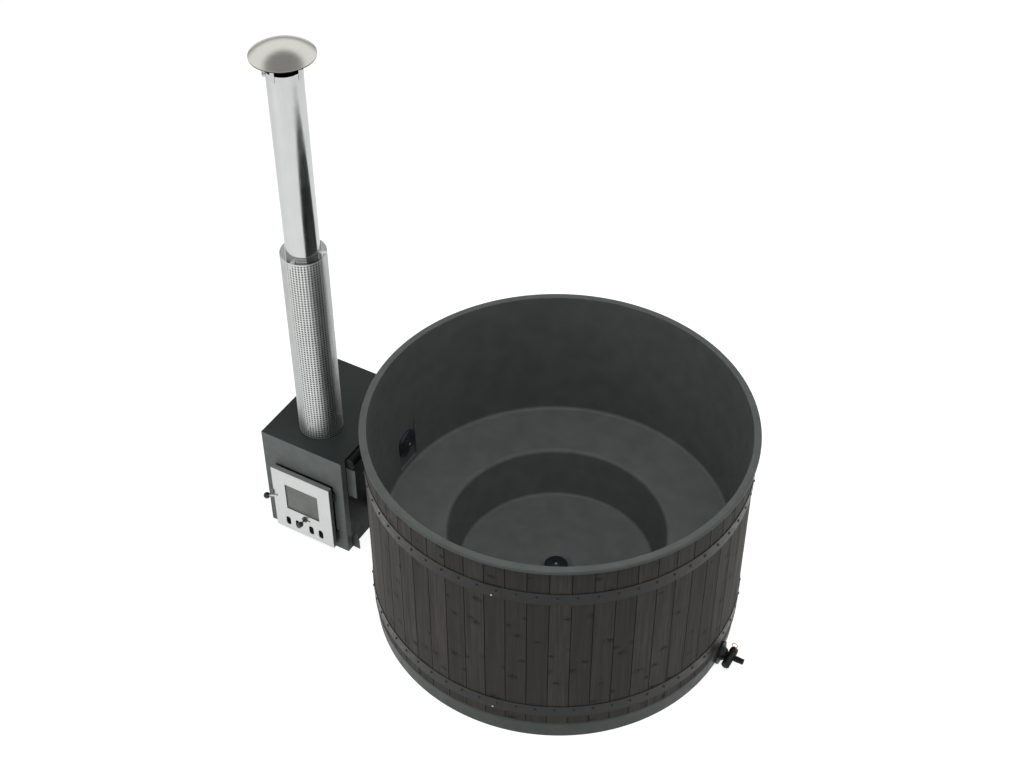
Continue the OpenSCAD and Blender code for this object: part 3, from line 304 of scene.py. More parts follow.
def stainedWood():
    s = stain
    material, tree, shader = newFinish("stainedWood", s["dark"], roughness=0.6, gleam=0.22, IOR=1.45)
    grain = addNode(tree, "ShaderNodeAttribute", attribute_name="grain").outputs["Vector"]
    board = addNode(tree, "ShaderNodeAttribute", attribute_name="copy").outputs["Fac"]
    place = addNode(tree, "ShaderNodeVectorMath", {0: board, 1: s["boardJump"], 2: grain},
                    operation="MULTIPLY_ADD").outputs[0]
    bend = blots(tree, s["bendSize"], (1, 1, 4), 2, place=place)
    sway = addNode(tree, "ShaderNodeMapRange", {
        0: bend, 1: 0.2, 2: 0.8, 3: -s["sway"], 4: s["sway"]}).outputs[0]
    aside = addNode(tree, "ShaderNodeCombineXYZ", {0: sway}).outputs[0]
    flow = addNode(tree, "ShaderNodeVectorMath", {0: place, 1: aside}, operation="ADD").outputs[0]
    knot, halo = knotPattern(tree, place, flow)
    fine = blots(tree, s["fineSize"], (1, 1, 60), 3, 0.6, flow)
    broad = blots(tree, s["broadSize"], (1, 1, 45), 3, 0.55, flow)
    patch = blots(tree, s["patchSize"], (1, 1, 3.5), 3, 0.5, flow)
    across = addNode(tree, "ShaderNodeSeparateXYZ", {0: grain}).outputs[0]
    offCentre = addNode(tree, "ShaderNodeMath", {0: across}, operation="ABSOLUTE").outputs[0]

    tone = tint(tree, linear(s["dark"]), s["light"], board)
    tone = tint(tree, tone, s["patch"], patch, 0.35, 0.7, most=0.55)
    tone = tint(tree, tone, s["streak"], broad, 0.4, 0.68, most=0.6)
    tone = tint(tree, tone, s["grain"], fine, 0.42, 0.66, most=0.4)
    tone = tint(tree, tone, s["pale"], fine, 0.40, 0.22, most=0.3)
    tone = tint(tree, tone, s["joint"], offCentre, s["jointFrom"], s["jointTo"], most=0.95)
    tone = tint(tree, tone, s["halo"], halo, most=0.4)
    tone = tint(tree, tone, s["knot"], knot)
    wear(tree, shader, tone, broad, 0.55, 0.7)
    ridge = relief(tree, shader, fine, 0.35, 0.35)
    relief(tree, shader, knot, 0.3, 0.5, ridge)
    return material


# Powder-coated sheet steel: even colour with a fine orange-peel skin and dusty variation;
# upper faces take painted light and shade, darker on the front panel's fold and lighter on the casing's top,
# and the strip behind the fire door is painted shade in black
coatSkin = {"cloud": 55, "dust": 22, "peel": 1.1}
# painted tone on the top faces for the light falling on them: shade on the front panel's fold, light on the
# casing's top
stoveTopShade = {"from": 577.0, "to": 578.6, "colour": "#292e2d"}
casingTopLight = {"from": 577.0, "to": 578.6, "colour": "#2c3130"}
# painted shade: the panel's face black behind the door, for the deep shade in the gap round it
doorGapShade = {"centre": (-1176.0, 219.0), "half": (161.0, 189.0), "colour": "#0d0e0e"}


def coatedSteel(name, dark, light, gloss, gleam=0.2, top=None, gapShade=None):
    s = coatSkin
    material, tree, shader = newFinish(name, dark, roughness=gloss, gleam=gleam, IOR=1.5)
    tone = tint(tree, linear(dark), light, blots(tree, s["cloud"], detail=4), 0.38, 0.64)
    # painted light and shade on the top faces, above the given height
    if top:
        tone = tint(tree, tone, top["colour"], placeParts(tree)[2], top["from"] * mm, top["to"] * mm)
    # painted shade: black inside the door's outline on the panel
    if gapShade:
        place = placeParts(tree)
        across, upward = [addNode(tree, "ShaderNodeMath", {0: place[axis], 1: centre * mm, 2: half * mm},
                                  operation="COMPARE").outputs[0]
                          for axis, centre, half in zip((0, 2), gapShade["centre"], gapShade["half"])]
        inside = addNode(tree, "ShaderNodeMath", {0: across, 1: upward}, operation="MULTIPLY").outputs[0]
        tone = tint(tree, tone, gapShade["colour"], inside)
    wear(tree, shader, tone, blots(tree, s["dust"], detail=3), gloss - 0.06, gloss + 0.08)
    relief(tree, shader, blots(tree, s["peel"], detail=2), 0.16, 0.12)
    return material


# Rolled, brushed or polished sheet metal: fine lines along one direction; on the chimney's pipe, painted
# shade where the shield covers it and a near-black inner face
# painted shade on the pipe inside the shield, and its inner face near black
pipeDarkening = {"radius": 73.9, "edge": 0.2, "below": 1586.0, "fade": 30.0, "shieldShade": "#161717",
             "black": "#0a0a0a"}


def brushedMetal(name, dark, light, gloss, long=(1, 1, 60), line=0.7, depth=0.05, darkening=None):
    material, tree, shader = newFinish(name, dark, metallic=1.0, roughness=gloss)
    lines = blots(tree, line, long, 3, 0.6)
    cloud = blots(tree, 70, detail=3)
    tone = tint(tree, linear(dark), light, lines, 0.3, 0.7)
    tone = tint(tree, tone, dark, cloud, 0.35, 0.7, most=0.25)
    if darkening:
        radius, below = darkening["radius"] * mm, darkening["below"] * mm
        # painted shade on the pipe below the shield's top, fading in over the given height
        tone = tint(tree, tone, darkening["shieldShade"], placeParts(tree)[2],
                    below - darkening["fade"] * mm, below, 1.0, 0.0)
        # near black on the tube's inner face
        tone = tint(tree, tone, darkening["black"], fromChimney(tree),
                    radius - darkening["edge"] * mm, radius, 1.0, 0.0)
    broad = wear(tree, shader, tone, cloud, gloss - 0.03, gloss + 0.05)
    drawn = addNode(tree, "ShaderNodeMapRange", {0: lines, 1: 0.3, 2: 0.7, 3: -0.04, 4: 0.05}).outputs[0]
    uneven = addNode(tree, "ShaderNodeMath", {0: drawn, 1: broad}, operation="ADD").outputs[0]
    tree.links.new(uneven, shader.inputs["Roughness"])
    relief(tree, shader, lines, 0.4, depth)
    return material


# Spun stainless sheet: rings round the chimney's axis, as the lathe leaves them, and a darker underside
capUnder = {"centre": 2365.95, "radius": 218.3, "edge": 0.3, "colour": "#3b3a37"}


def spunMetal(name, dark, light, gloss):
    material, tree, shader = newFinish(name, dark, metallic=1.0, roughness=gloss)
    height = addNode(tree, "ShaderNodeMath", {0: placeParts(tree)[2], 1: 0.4}, operation="MULTIPLY")
    ringed = addNode(tree, "ShaderNodeCombineXYZ", {0: fromChimney(tree), 2: height.outputs[0]}).outputs[0]
    rings = blots(tree, 1.4, rough=0.6, place=ringed)
    tone = tint(tree, linear(dark), light, rings, 0.35, 0.65)
    tone = tint(tree, tone, dark, blots(tree, 60), 0.4, 0.7, most=0.4)
    radius = capUnder["radius"] * mm
    tone = tint(tree, tone, capUnder["colour"], fromChimney(tree, capUnder["centre"]),
                radius - capUnder["edge"] * mm, radius, 1.0, 0.0)
    wear(tree, shader, tone, rings, gloss - 0.05, gloss + 0.07)
    relief(tree, shader, rings, 0.3, 0.06)
    return material


# Injection-moulded, cast or turned small parts: slight blotches and a soft skin
def smallPart(name, dark, light, gloss, metallic=0.0, grit=1.2, depth=0.06, **extra):
    material, tree, shader = newFinish(name, dark, metallic=metallic, roughness=gloss, **extra)
    tone = tint(tree, linear(dark), light, blots(tree, 9, detail=4), 0.35, 0.68)
    wear(tree, shader, tone, blots(tree, 5), gloss - 0.05, gloss + 0.08)
    relief(tree, shader, blots(tree, grit, detail=2), 0.3, depth)
    return material


# Braided glass-fibre rope: small slanted plaits, smoked in places
rope = {"dark": "#6e6a60", "light": "#b4b0a4", "darkening": "#3a3835", "slant": 40, "plaits": 55.0}


def ropeWeave():
    material, tree, shader = newFinish("sealRope", "#9b978b", roughness=0.9)
    place = addNode(tree, "ShaderNodeTexCoord").outputs["Object"]
    turned = addNode(tree, "ShaderNodeMapping", {"Vector": place, "Rotation": (0, radians(rope["slant"]), 0)})
    plait = addNode(tree, "ShaderNodeTexWave", {"Vector": turned.outputs[0], "Scale": rope["plaits"],
                                                "Distortion": 1.5, "Detail": 2.0}).outputs["Fac"]
    tone = tint(tree, linear(rope["dark"]), rope["light"], plait)
    tone = tint(tree, tone, rope["darkening"], blots(tree, 25), 0.4, 0.7, most=0.5)
    tree.links.new(tone, shader.inputs["Base Color"])
    relief(tree, shader, plait, 0.6, 0.8)
    return material


# Stove glass: grey from smoke on its inner face, clear gloss outside
def smokedGlass():
    material, tree, shader = newFinish("smokedGlass", "#7b7e7c", roughness=0.35, gleam=0.4, IOR=1.5,
                                       **{"Transmission Weight": 0.1})
    haze = blots(tree, 45, detail=4)
    wear(tree, shader, tint(tree, linear("#80837f"), "#767975", haze, 0.35, 0.7), haze, 0.3, 0.42)
    return material


# Each slot's finish, and those of single pieces that differ from their slot's
finishes = {
    "liner_plastic": mouldedPlastic("linerPlastic", "#4b4f4e", "#525655", 0.45, 0.2),
    "pan_plastic": mouldedPlastic("panPlastic", "#3e4643", "#464d4a", 0.4, 0.18),
    "stained_wood": stainedWood(),
    "hoop_steel": coatedSteel("hoopSteel", "#171a18", "#1c1f1d", 0.34, 0.26),
    "black_screws": smallPart("blackScrews", "#101112", "#191a1b", 0.36),
    "bright_metal": smallPart("brightScrews", "#b9bbbb", "#d2d3d2", 0.26, metallic=1.0),
    "black_plastic": smallPart("fittingPlastic", "#181a22", "#24262f", 0.3, IOR=1.5),
    "valve_black": smallPart("valveBlack", "#0b0d0e", "#131517", 0.38, gleam=0.28, IOR=1.5),
    "pipe_plastic": smallPart("pipePlastic", "#767977", "#868987", 0.45, IOR=1.5, grit=3.0),
    "copper_metal": smallPart("agedCopper", "#8a4f2c", "#b87345", 0.36, metallic=1.0),
    "black_rubber": smallPart("hoseRubber", "#1b1c1d", "#262829", 0.6, IOR=1.5, grit=2.0),
    "stove_paint": coatedSteel("stovePaint", "#696e6d", "#717675", 0.42, top=stoveTopShade),
    # painted shade: the hot header near black for the shade it lies in between stove and tub
    "header_shaded_black": coatedSteel("headerShadedBlack", "#0d0e0e", "#121414", 0.5, gleam=0.12),
    "stove_panel": coatedSteel("stovePanel", "#696e6d", "#717675", 0.42, top=stoveTopShade, gapShade=doorGapShade),
    "stove_paint_dark": coatedSteel("stovePaintDark", "#191d1c", "#1e2221", 0.45, gleam=0.15, top=casingTopLight),
    "raw_steel": brushedMetal("rolledSteel", "#6d7072", "#85888a", 0.45, (1, 60, 1)),
    "iron": smallPart("castIron", "#2b2b2a", "#383735", 0.62, metallic=0.6, grit=2.5, depth=0.3),
    "bracket_steel": coatedSteel("bracketPaint", "#606564", "#696e6d", 0.4),
    "stainless": brushedMetal("doorStainless", "#cfd2d2", "#dfe1e0", 0.34, (90, 1, 1), line=0.6),
    "window_glass": smokedGlass(),
    "gasket_rope": ropeWeave(),
    "knob_plastic": smallPart("knobPhenolic", "#151616", "#202121", 0.2, IOR=1.55),
    "polished_flue": brushedMetal("polishedFlue", "#ccd0cf", "#dbdddc", 0.16, (1, 1, 120), line=0.9,
                                  depth=0.02, darkening=pipeDarkening),
    "shield_sheet": brushedMetal("shieldSheet", "#dbdedd", "#ecedec", 0.44, (1, 1, 1), line=5.0, depth=0.02),
    "cap_steel": spunMetal("capSteel", "#cfcec6", "#dddcd6", 0.2),
}
print("finishes mixed:", len(finishes))


# Points on an arc, in millimetres
def arc(cx, cy, r, start, end, count):
    turns = [radians(start + (end - start) * k / count) for k in range(count + 1)]
    return [(cx + r * cos(turn), cy + r * sin(turn)) for turn in turns]


# Turns a profile of (radius, height) round the Z axis; a radius of 0 becomes one pole point
def turnedShape(profile, steps, closed=True, shape=None):
    shape = shape or bmesh.new()
    turns = [2 * pi * k / steps for k in range(steps)]
    rings = []
    for r, z in profile:
        if r < 1e-6:
            rings.append([shape.verts.new((0, 0, z * mm))])
        else:
            rings.append([shape.verts.new((r * mm * cos(turn), r * mm * sin(turn), z * mm))
                          for turn in turns])
    follow = rings[1:] + rings[:1] if closed else rings[1:]
    for low, high in zip(rings, follow):
        if len(low) == 1 and len(high) == 1:
            continue
        for k in range(steps):
            n = (k + 1) % steps
            if len(low) == 1:
                shape.faces.new((low[0], high[k], high[n]))
            elif len(high) == 1:
                shape.faces.new((low[k], high[0], low[n]))
            else:
                shape.faces.new((low[k], high[k], high[n], low[n]))
    return shape


def outlineBlock(outline, low, high):
    shape = bmesh.new()
    ends = [[shape.verts.new((x * mm, y * mm, z * mm)) for x, y in outline] for z in (low, high)]
    shape.faces.new(ends[0])
    shape.faces.new(ends[1])
    for k in range(len(outline)):
        n = (k + 1) % len(outline)
        shape.faces.new((ends[0][k], ends[0][n], ends[1][n], ends[1][k]))
    return shape


# Skin over rows of points, closed round each row and capped at both ends
def skinRows(shape, rows):
    for first, second in zip(rows, rows[1:]):
        for k in range(len(first)):
            n = (k + 1) % len(first)
            shape.faces.new((first[k], second[k], second[n], first[n]))
    shape.faces.new(rows[0])
    shape.faces.new(rows[-1])


# Smooth sides between edges that turn by more than sharp degrees
def shadeMesh(mesh, sharp):
    mesh.shade_smooth()
    mesh.set_sharp_from_angle(angle=radians(sharp))


# Closes a shape into a mesh with outward faces
def toMesh(name, shape, sharp=40.0, place=None):
    bmesh.ops.remove_doubles(shape, verts=shape.verts, dist=1e-6)
    bmesh.ops.recalc_face_normals(shape, faces=shape.faces)
    mesh = bpy.data.meshes.new(name)
    shape.to_mesh(mesh)
    shape.free()
    if place is not None:
        mesh.transform(place)
    shadeMesh(mesh, sharp)
    return mesh


def addPiece(name, mesh, slotName, body="tub_and_stove", replaced=(), finish=None):
    piece = bpy.data.objects.new(name, mesh)
    scene.collection.objects.link(piece)
    if not mesh.materials:
        mesh.materials.append(finish or finishes[slotName])
    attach(piece, body)
    if replaced:
        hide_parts(*replaced)
    return piece


def joined(name, meshes, sharp=40.0):
    shape = bmesh.new()
    for mesh in meshes:
        shape.from_mesh(mesh)
    mesh = bpy.data.meshes.new(name)
    shape.to_mesh(mesh)
    shape.free()
    shadeMesh(mesh, sharp)
    return mesh


# Cuts shapes out of a mesh and returns the plain result
def cutAway(mesh, cutters, name, sharp):
    body = bpy.data.objects.new(name, mesh)
    scene.collection.objects.link(body)
    tools = []
    for cutter in cutters:
        tool = bpy.data.objects.new(name + "Cutter", cutter)
        scene.collection.objects.link(tool)
        tools.append(tool)
        cut = body.modifiers.new("cut", "BOOLEAN")
        cut.operation = "DIFFERENCE"
        cut.solver = "EXACT"
        cut.object = tool
    graph = bpy.context.evaluated_depsgraph_get()
    result = bpy.data.meshes.new_from_object(body.evaluated_get(graph), depsgraph=graph)
    for made in [body] + tools:
        bpy.data.objects.remove(made)
    result.name = name
    result.materials.clear()
    shadeMesh(result, sharp)
    return result


# Stands a shape drawn in X and Y up on its edge, so that its height runs outward along X
alongX = Matrix(((0, 0, 1, 0), (1, 0, 0, 0), (0, 1, 0, 0), (0, 0, 0, 1)))


def onWall(radius, height, turn=0.0):
    return Matrix.Rotation(radians(turn), 4, "Z") @ Matrix.Translation((radius * mm, 0, height * mm)) @ alongX


def boreMesh(radius, height, low, high, sides):
    return toMesh("bore", outlineBlock(arc(0, height, radius, 0, 360, sides)[:-1], low, high), place=alongX)


# Node tree: copies of a mesh round the Z axis, in rows up it, each with its own random number
def plantRingTree():
    tree = bpy.data.node_groups.new("copiesRoundTheAxis", "GeometryNodeTree")
    face = tree.interface
    for name, kind in (("Geometry", "Geometry"), ("Round", "Int"), ("Rows", "Int"), ("First Turn", "Float"),
                       ("Turn Step", "Float"), ("Row Rise", "Float"), ("Seed", "Int"), ("Weld", "Float"),
                       ("Finish", "Material")):
        face.new_socket(name=name, in_out="INPUT", socket_type="NodeSocket" + kind)
    face.new_socket(name="Geometry", in_out="OUTPUT", socket_type="NodeSocketGeometry")
    given = addNode(tree, "NodeGroupInput").outputs
    total = addNode(tree, "ShaderNodeMath", {0: given["Round"], 1: given["Rows"]},
                    operation="MULTIPLY").outputs[0]
    index = addNode(tree, "GeometryNodeInputIndex").outputs[0]
    column = addNode(tree, "ShaderNodeMath", {0: index, 1: given["Round"]},
                     operation="FLOORED_MODULO").outputs[0]
    level = addNode(tree, "ShaderNodeMath", {0: index, 1: given["Round"]}, operation="DIVIDE").outputs[0]
    row = addNode(tree, "ShaderNodeMath", {0: level}, operation="FLOOR").outputs[0]
    turn = addNode(tree, "ShaderNodeMath", {0: column, 1: given["Turn Step"], 2: given["First Turn"]},
                   operation="MULTIPLY_ADD").outputs[0]
    angle = addNode(tree, "ShaderNodeMath", {0: turn}, operation="RADIANS").outputs[0]
    rise = addNode(tree, "ShaderNodeMath", {0: row, 1: given["Row Rise"]}, operation="MULTIPLY").outputs[0]
    spot = addNode(tree, "ShaderNodeCombineXYZ", {2: rise}).outputs[0]
    points = addNode(tree, "GeometryNodePoints", {"Count": total, "Position": spot}).outputs[0]
    facing = addNode(tree, "ShaderNodeCombineXYZ", {2: angle}).outputs[0]
    copies = addNode(tree, "GeometryNodeInstanceOnPoints", {
        "Points": points, "Instance": given["Geometry"], "Rotation": facing}).outputs[0]
    chance = addNode(tree, "FunctionNodeRandomValue", {2: 0.0, 3: 1.0, 8: given["Seed"]},
                     data_type="FLOAT").outputs[1]
    marked = addNode(tree, "GeometryNodeStoreNamedAttribute", {
        "Geometry": copies, "Name": "copy", "Value": chance}, data_type="FLOAT", domain="INSTANCE").outputs[0]
    solid = addNode(tree, "GeometryNodeRealizeInstances", {"Geometry": marked}).outputs[0]
    tight = addNode(tree, "GeometryNodeMergeByDistance", {
        "Geometry": solid, "Distance": given["Weld"]}).outputs[0]
    dressed = addNode(tree, "GeometryNodeSetMaterial", {
        "Geometry": tight, "Material": given["Finish"]}).outputs[0]
    addNode(tree, "NodeGroupOutput", {"Geometry": dressed})
    return tree


ringTree = plantRingTree()
plainRing = {"Rows": 1, "First Turn": 0.0, "Row Rise": 0.0, "Seed": 3, "Weld": 1e-7}


# Runs the tree on a source mesh with the wanted inputs and returns the plain mesh
def grow(name, source, sharp, wanted):
    holder = bpy.data.objects.new(name + "Source", source)
    scene.collection.objects.link(holder)
    modifier = holder.modifiers.new("copies", "NODES")
    modifier.node_group = ringTree
    wanted = {**plainRing, **wanted}
    for item in ringTree.interface.items_tree:
        if item.item_type == "SOCKET" and item.in_out == "INPUT" and item.name in wanted:
            modifier[item.identifier] = wanted[item.name]
    graph = bpy.context.evaluated_depsgraph_get()
    mesh = bpy.data.meshes.new_from_object(holder.evaluated_get(graph), preserve_all_data_layers=True,
                                           depsgraph=graph)
    bpy.data.objects.remove(holder)
    mesh.name = name
    mesh.set_sharp_from_angle(angle=radians(sharp))
    return mesh


# Tub: one moulded liner, with a flat pad in its wall for the return fitting
tub = {
    "rimR": 843, "rimZ": 1076, "rimRound": 4, "wallTopR": 811, "lipRound": 9, "lipHigh": 18, "lipThick": 6,
    "lipEdge": 1.5, "backTopR": 816, "backLowR": 797.5, "shell": 7, "benchZ": 416, "benchR": 781,
    "benchInset": 110, "noseRound": 22, "cornerRound": 18, "wellR": 487, "floorZ": 168, "floorR": 450,
    "floorRings": (0.4, 0.7), "backStep": 2, "sumpBackTop": 3, "sumpBackLow": 4,
    "sumpR": 58, "sumpDrop": 14, "sumpSlope": 18, "sumpRound": 6, "sumpSet": 4, "drainR": 31,
    "padX": -790, "padDeep": 60, "padHalf": 67, "padLow": 438, "padHigh": 706, "padRound": 16,
    "boreR": 31, "boreZ": 562, "boreFrom": -840, "boreTo": -760, "boreSides": 47, "steps": 224,
}


# The side that holds the water, from the drain up over the rim to its lip
def waterSide():
    t = tub
    corner, nose, rim, sump = t["cornerRound"], t["noseRound"], t["rimRound"], t["sumpRound"]
    side = [(t["drainR"], t["floorZ"] - t["sumpDrop"])]
    side += arc(t["sumpR"] - t["sumpSet"], t["floorZ"] - t["sumpDrop"] + sump, sump, -90, -40, 3)
    side += arc(t["sumpR"] + t["sumpSlope"] + t["sumpSet"], t["floorZ"] - sump, sump, 130, 90, 3)
    side += [(t["floorR"] * share, t["floorZ"]) for share in t["floorRings"]]
    side += arc(t["floorR"] - corner, t["floorZ"] + corner, corner, -90, -10, 8)
    side += arc(t["wellR"] + nose, t["benchZ"] - nose, nose, 170, 90, 9)
    side += [(t["wellR"] + t["benchInset"], t["benchZ"]), (t["benchR"] - t["benchInset"], t["benchZ"])]
    side += arc(t["benchR"] - corner, t["benchZ"] + corner, corner, -90, 2, 8)
    foot, head, lean = t["benchZ"] + corner, t["rimZ"] - rim, t["wallTopR"] - t["benchR"]
    side += [(t["benchR"] + lean * k / 4, foot + (head - foot) * k / 4) for k in (1, 2, 3)]
    side += arc(t["wallTopR"] + rim, t["rimZ"] - rim, rim, 178, 90, 8)
    side += arc(t["rimR"] - t["lipRound"], t["rimZ"] - t["lipRound"], t["lipRound"], 90, 0, 7)
    lipFoot = t["rimZ"] - t["lipHigh"]
    return side + [(t["rimR"], lipFoot + t["lipEdge"]), (t["rimR"] - t["lipEdge"], lipFoot)]


# The hidden side, back from the lip to the drain
def backSide():
    t = tub
    shell, corner, nose = t["shell"], t["cornerRound"], t["noseRound"]
    lipR, sumpFloor = t["rimR"] - t["lipThick"], t["floorZ"] - t["sumpDrop"] - t["shell"]
    return [
        (lipR, t["rimZ"] - t["lipHigh"]), (lipR, t["rimZ"] - shell), (t["backTopR"], t["rimZ"] - shell),
        (t["backLowR"], t["benchZ"] + corner), (t["benchR"] + t["backStep"], t["benchZ"] - shell),
        (t["wellR"] + nose, t["benchZ"] - shell), (t["wellR"] + shell, t["benchZ"] - nose),
        (t["floorR"] + shell, t["floorZ"] + corner),
        (t["floorR"] - corner + t["backStep"], t["floorZ"] - shell),
        (t["sumpR"] + t["sumpSlope"] + t["sumpBackTop"], t["floorZ"] - shell),
        (t["sumpR"] + t["sumpBackLow"], sumpFloor), (t["drainR"], sumpFloor),
    ]


def buildLiner():
    t = tub
    shell = toMesh("liner", turnedShape(waterSide() + backSide(), t["steps"]))
    bend = t["padRound"]
    halfIn, low, high = t["padHalf"] - bend, t["padLow"] + bend, t["padHigh"] - bend
    outline = []
    corners = ((halfIn, low, -90), (halfIn, high, 0), (-halfIn, high, 90), (-halfIn, low, 180))
    for side, height, start in corners:
        outline += arc(side, height, bend, start, start + 90, 6)
    pad = toMesh("pad", outlineBlock(outline, t["padX"], t["padX"] + t["padDeep"]), place=alongX)
    bore = boreMesh(t["boreR"], t["boreZ"], t["boreFrom"], t["boreTo"], t["boreSides"])
    mesh = cutAway(shell, [pad, bore], "tub_liner_moulded", 24)
    addPiece("tub_liner_moulded", mesh, "liner_plastic", replaced=("tub_liner",))


# Base pan: the ring that the staves stand on, its floor and the support under the footwell
pan = {
    "footR": 822, "topR": 830, "high": 101, "upstandR": 816, "upstandTop": 235, "supportR": 400,
    "supportTop": 161, "shell": 7, "steps": 224,
    "grooveIn": 60, "grooveOut": 18, "grooveSlope": 6, "grooveHigh": 2.5,
    "footRound": 6, "topRound": 4, "sideBends": ((4.5, 38), (2.2, 24)),
    "wayR": 26, "wayZ": 54, "waySides": 40, "wayFrom": 380, "wayTo": 845,
    "bossR": 54, "bossLow": 3, "bossDrop": 2, "bossFrom": 12, "bossTo": 1.2, "bossWay": (800, 860),
}


def buildPan():
    p = pan
    foot, top, shell = p["footR"], p["topR"], p["shell"]
    support, upstand = p["supportR"], p["upstandR"]
    grooveIn, grooveOut = foot - p["grooveIn"], foot - p["grooveOut"]
    profile = [(0, 0), (grooveIn, 0), (grooveIn + p["grooveSlope"], p["grooveHigh"]),
               (grooveOut - p["grooveSlope"], p["grooveHigh"]), (grooveOut, 0)]
    profile += arc(foot - p["footRound"], p["footRound"], p["footRound"], -90, -4, 5)
    profile += [(top - back, p["high"] - drop) for back, drop in p["sideBends"]]
    profile += arc(top - p["topRound"], p["high"] - p["topRound"], p["topRound"], 4, 90, 5)
    profile += [(upstand, p["high"]), (upstand, p["upstandTop"]), (upstand - shell, p["upstandTop"]),
                (upstand - shell, shell), (support + shell, shell), (support + shell, p["supportTop"]),
                (support, p["supportTop"]), (support, shell), (0, shell)]
    ring = toMesh("pan", turnedShape(profile, p["steps"], closed=False))
    ways = [boreMesh(p["wayR"], p["wayZ"], low, high, p["waySides"])
            for low, high in ((p["wayFrom"], p["wayTo"]), (-p["wayTo"], -p["wayFrom"]))]
    mesh = cutAway(ring, ways, "base_pan_moulded", 24)
    addPiece("base_pan_moulded", mesh, "pan_plastic", replaced=("base_pan",))

    # Flat boss round the drain's way, cut level at the pan's foot and top
    boss = [(x, min(max(y, p["bossLow"]), p["high"] - p["bossDrop"]))
            for x, y in arc(0, p["wayZ"], p["bossR"], -60, 240, 60)]
    block = toMesh("boss", outlineBlock(boss, top - p["bossFrom"], top - p["bossTo"]), 32, alongX)
    way = boreMesh(p["wayR"], p["wayZ"], *p["bossWay"], p["waySides"])
    addPiece("pan_boss", cutAway(block, [way], "pan_boss", 30), "pan_plastic")


# Cladding: one tongue-and-groove board, copied round the tub
boards = {"count": 59, "outFace": 828.6, "backFace": 817.0, "gap": 0.6, "bevel": 2.5, "bevelMid": (0.3, 0.35),
          "tongue": 5.0, "tongueHalf": 1.8, "grooveHalf": 2.3, "grooveRoom": 0.8, "firstJoint": 3.15,
          "low": 101, "high": 1068, "seed": 11, "sharp": 18}


def buildBoards():
    b = boards
    pitch = 360 / b["count"]

    def halfAt(x):
        return x * tan(radians(pitch / 2)) - b["gap"] / 2

    inner, outer, mid = b["backFace"], b["outFace"], (b["backFace"] + b["outFace"]) / 2
    side, bevel, tongue, groove = halfAt(mid), b["bevel"], b["tongueHalf"], b["grooveHalf"]
    edge = halfAt(outer)
    tip, root = side + b["tongue"], b["tongue"] + b["grooveRoom"] - side
    sink, along = b["bevelMid"]
    corner = [(outer - bevel, edge), (outer - bevel * sink, edge - bevel * along), (outer, edge - bevel)]
    front = corner + [(outer, edge * k) for k in (0.5, 0.0, -0.5)] + [(x, -y) for x, y in reversed(corner)]
    outline = [(inner, halfAt(inner)), (mid - tongue, side), (mid - tongue, tip), (mid + tongue, tip),
               (mid + tongue, side)] + front
    outline += [(mid + groove, -side), (mid + groove, root), (mid - groove, root), (mid - groove, -side),
                (inner, -halfAt(inner))]
    board = toMesh("board", outlineBlock(outline, b["low"], b["high"]), b["sharp"])
    place = board.attributes.new("grain", "FLOAT_VECTOR", "POINT")
    for k, point in enumerate(board.vertices):
        place.data[k].vector = (point.co.y, point.co.x, point.co.z)
    mesh = grow("stave_cladding", board, b["sharp"], {
        "Round": b["count"], "First Turn": b["firstJoint"] + pitch / 2, "Turn Step": pitch, "Seed": b["seed"],
        "Finish": finishes["stained_wood"]})
    addPiece("stave_cladding", mesh, "stained_wood",
             replaced=("staves_front", "staves_right", "staves_back", "staves_left", "staves_drilled"))


# Hoops: flat strip with rolled edges whose end lies over its start
hoops = {"inR": 830.2, "thick": 1.8, "wide": 66, "edge": 0.7, "low": 150, "high": 866, "lapTurn": -80.0,
         "lapSpan": 5.5, "lapRise": 1.2, "ramp": 1.6, "steps": 300, "rampSteps": 4, "lapSteps": 6}


def buildHoop(name, z, node):
    h = hoops
    thick, wide, edge, ramp = h["thick"], h["wide"], h["edge"], h["ramp"]
    start = h["lapTurn"] - h["lapSpan"] / 2
    full = start + 360
    section = [(0, edge), (edge, 0), (thick - edge, 0), (thick, edge), (thick, wide / 2),
               (thick, wide - edge), (thick - edge, wide), (edge, wide), (0, wide - edge)]
    turns = [start + (360 - ramp) * k / h["steps"] for k in range(h["steps"] + 1)]
    turns += [full - ramp * (1 - k / h["rampSteps"]) for k in range(1, h["rampSteps"] + 1)]
    turns += [full + h["lapSpan"] * k / h["lapSteps"] for k in range(1, h["lapSteps"] + 1)]
    shape = bmesh.new()
    rows = []
    for turn in turns:
        share = min(max((turn - (full - ramp)) / ramp, 0.0), 1.0)
        inner = h["inR"] + h["lapRise"] * share * share * (3 - 2 * share)
        angle = radians(turn)
        spots = [((inner + x) * mm * cos(angle), (inner + x) * mm * sin(angle), (z + y) * mm)
                 for x, y in section]
        rows.append([shape.verts.new(spot) for spot in spots])
    skinRows(shape, rows)
    addPiece(name, toMesh(name, shape, 34), "hoop_steel", replaced=(node,))


# Hoop screws: low domed head with a recess for the driver
screws = {"count": 64, "firstTurn": 0.1, "line": 38, "sink": 0.2, "headR": 7.0, "headHigh": 4.2,
          "recessR": 2.6, "recessDeep": 1.8, "sides": 12, "nearLap": 50, "sharp": 50}


def screwHead(radius, height):
    s = screws
    head, recess, floor = s["headR"], s["recessR"], s["headHigh"] - s["recessDeep"]
    dome = [(head, 0.0), (head, 0.9), (head * 0.86, 2.6), (head * 0.58, 3.8), (recess * 1.15, s["headHigh"]),
            (recess, floor), (0, floor)]
    shape = turnedShape(dome, s["sides"], closed=False)
    return toMesh("screwHead", shape, s["sharp"], onWall(radius, height))


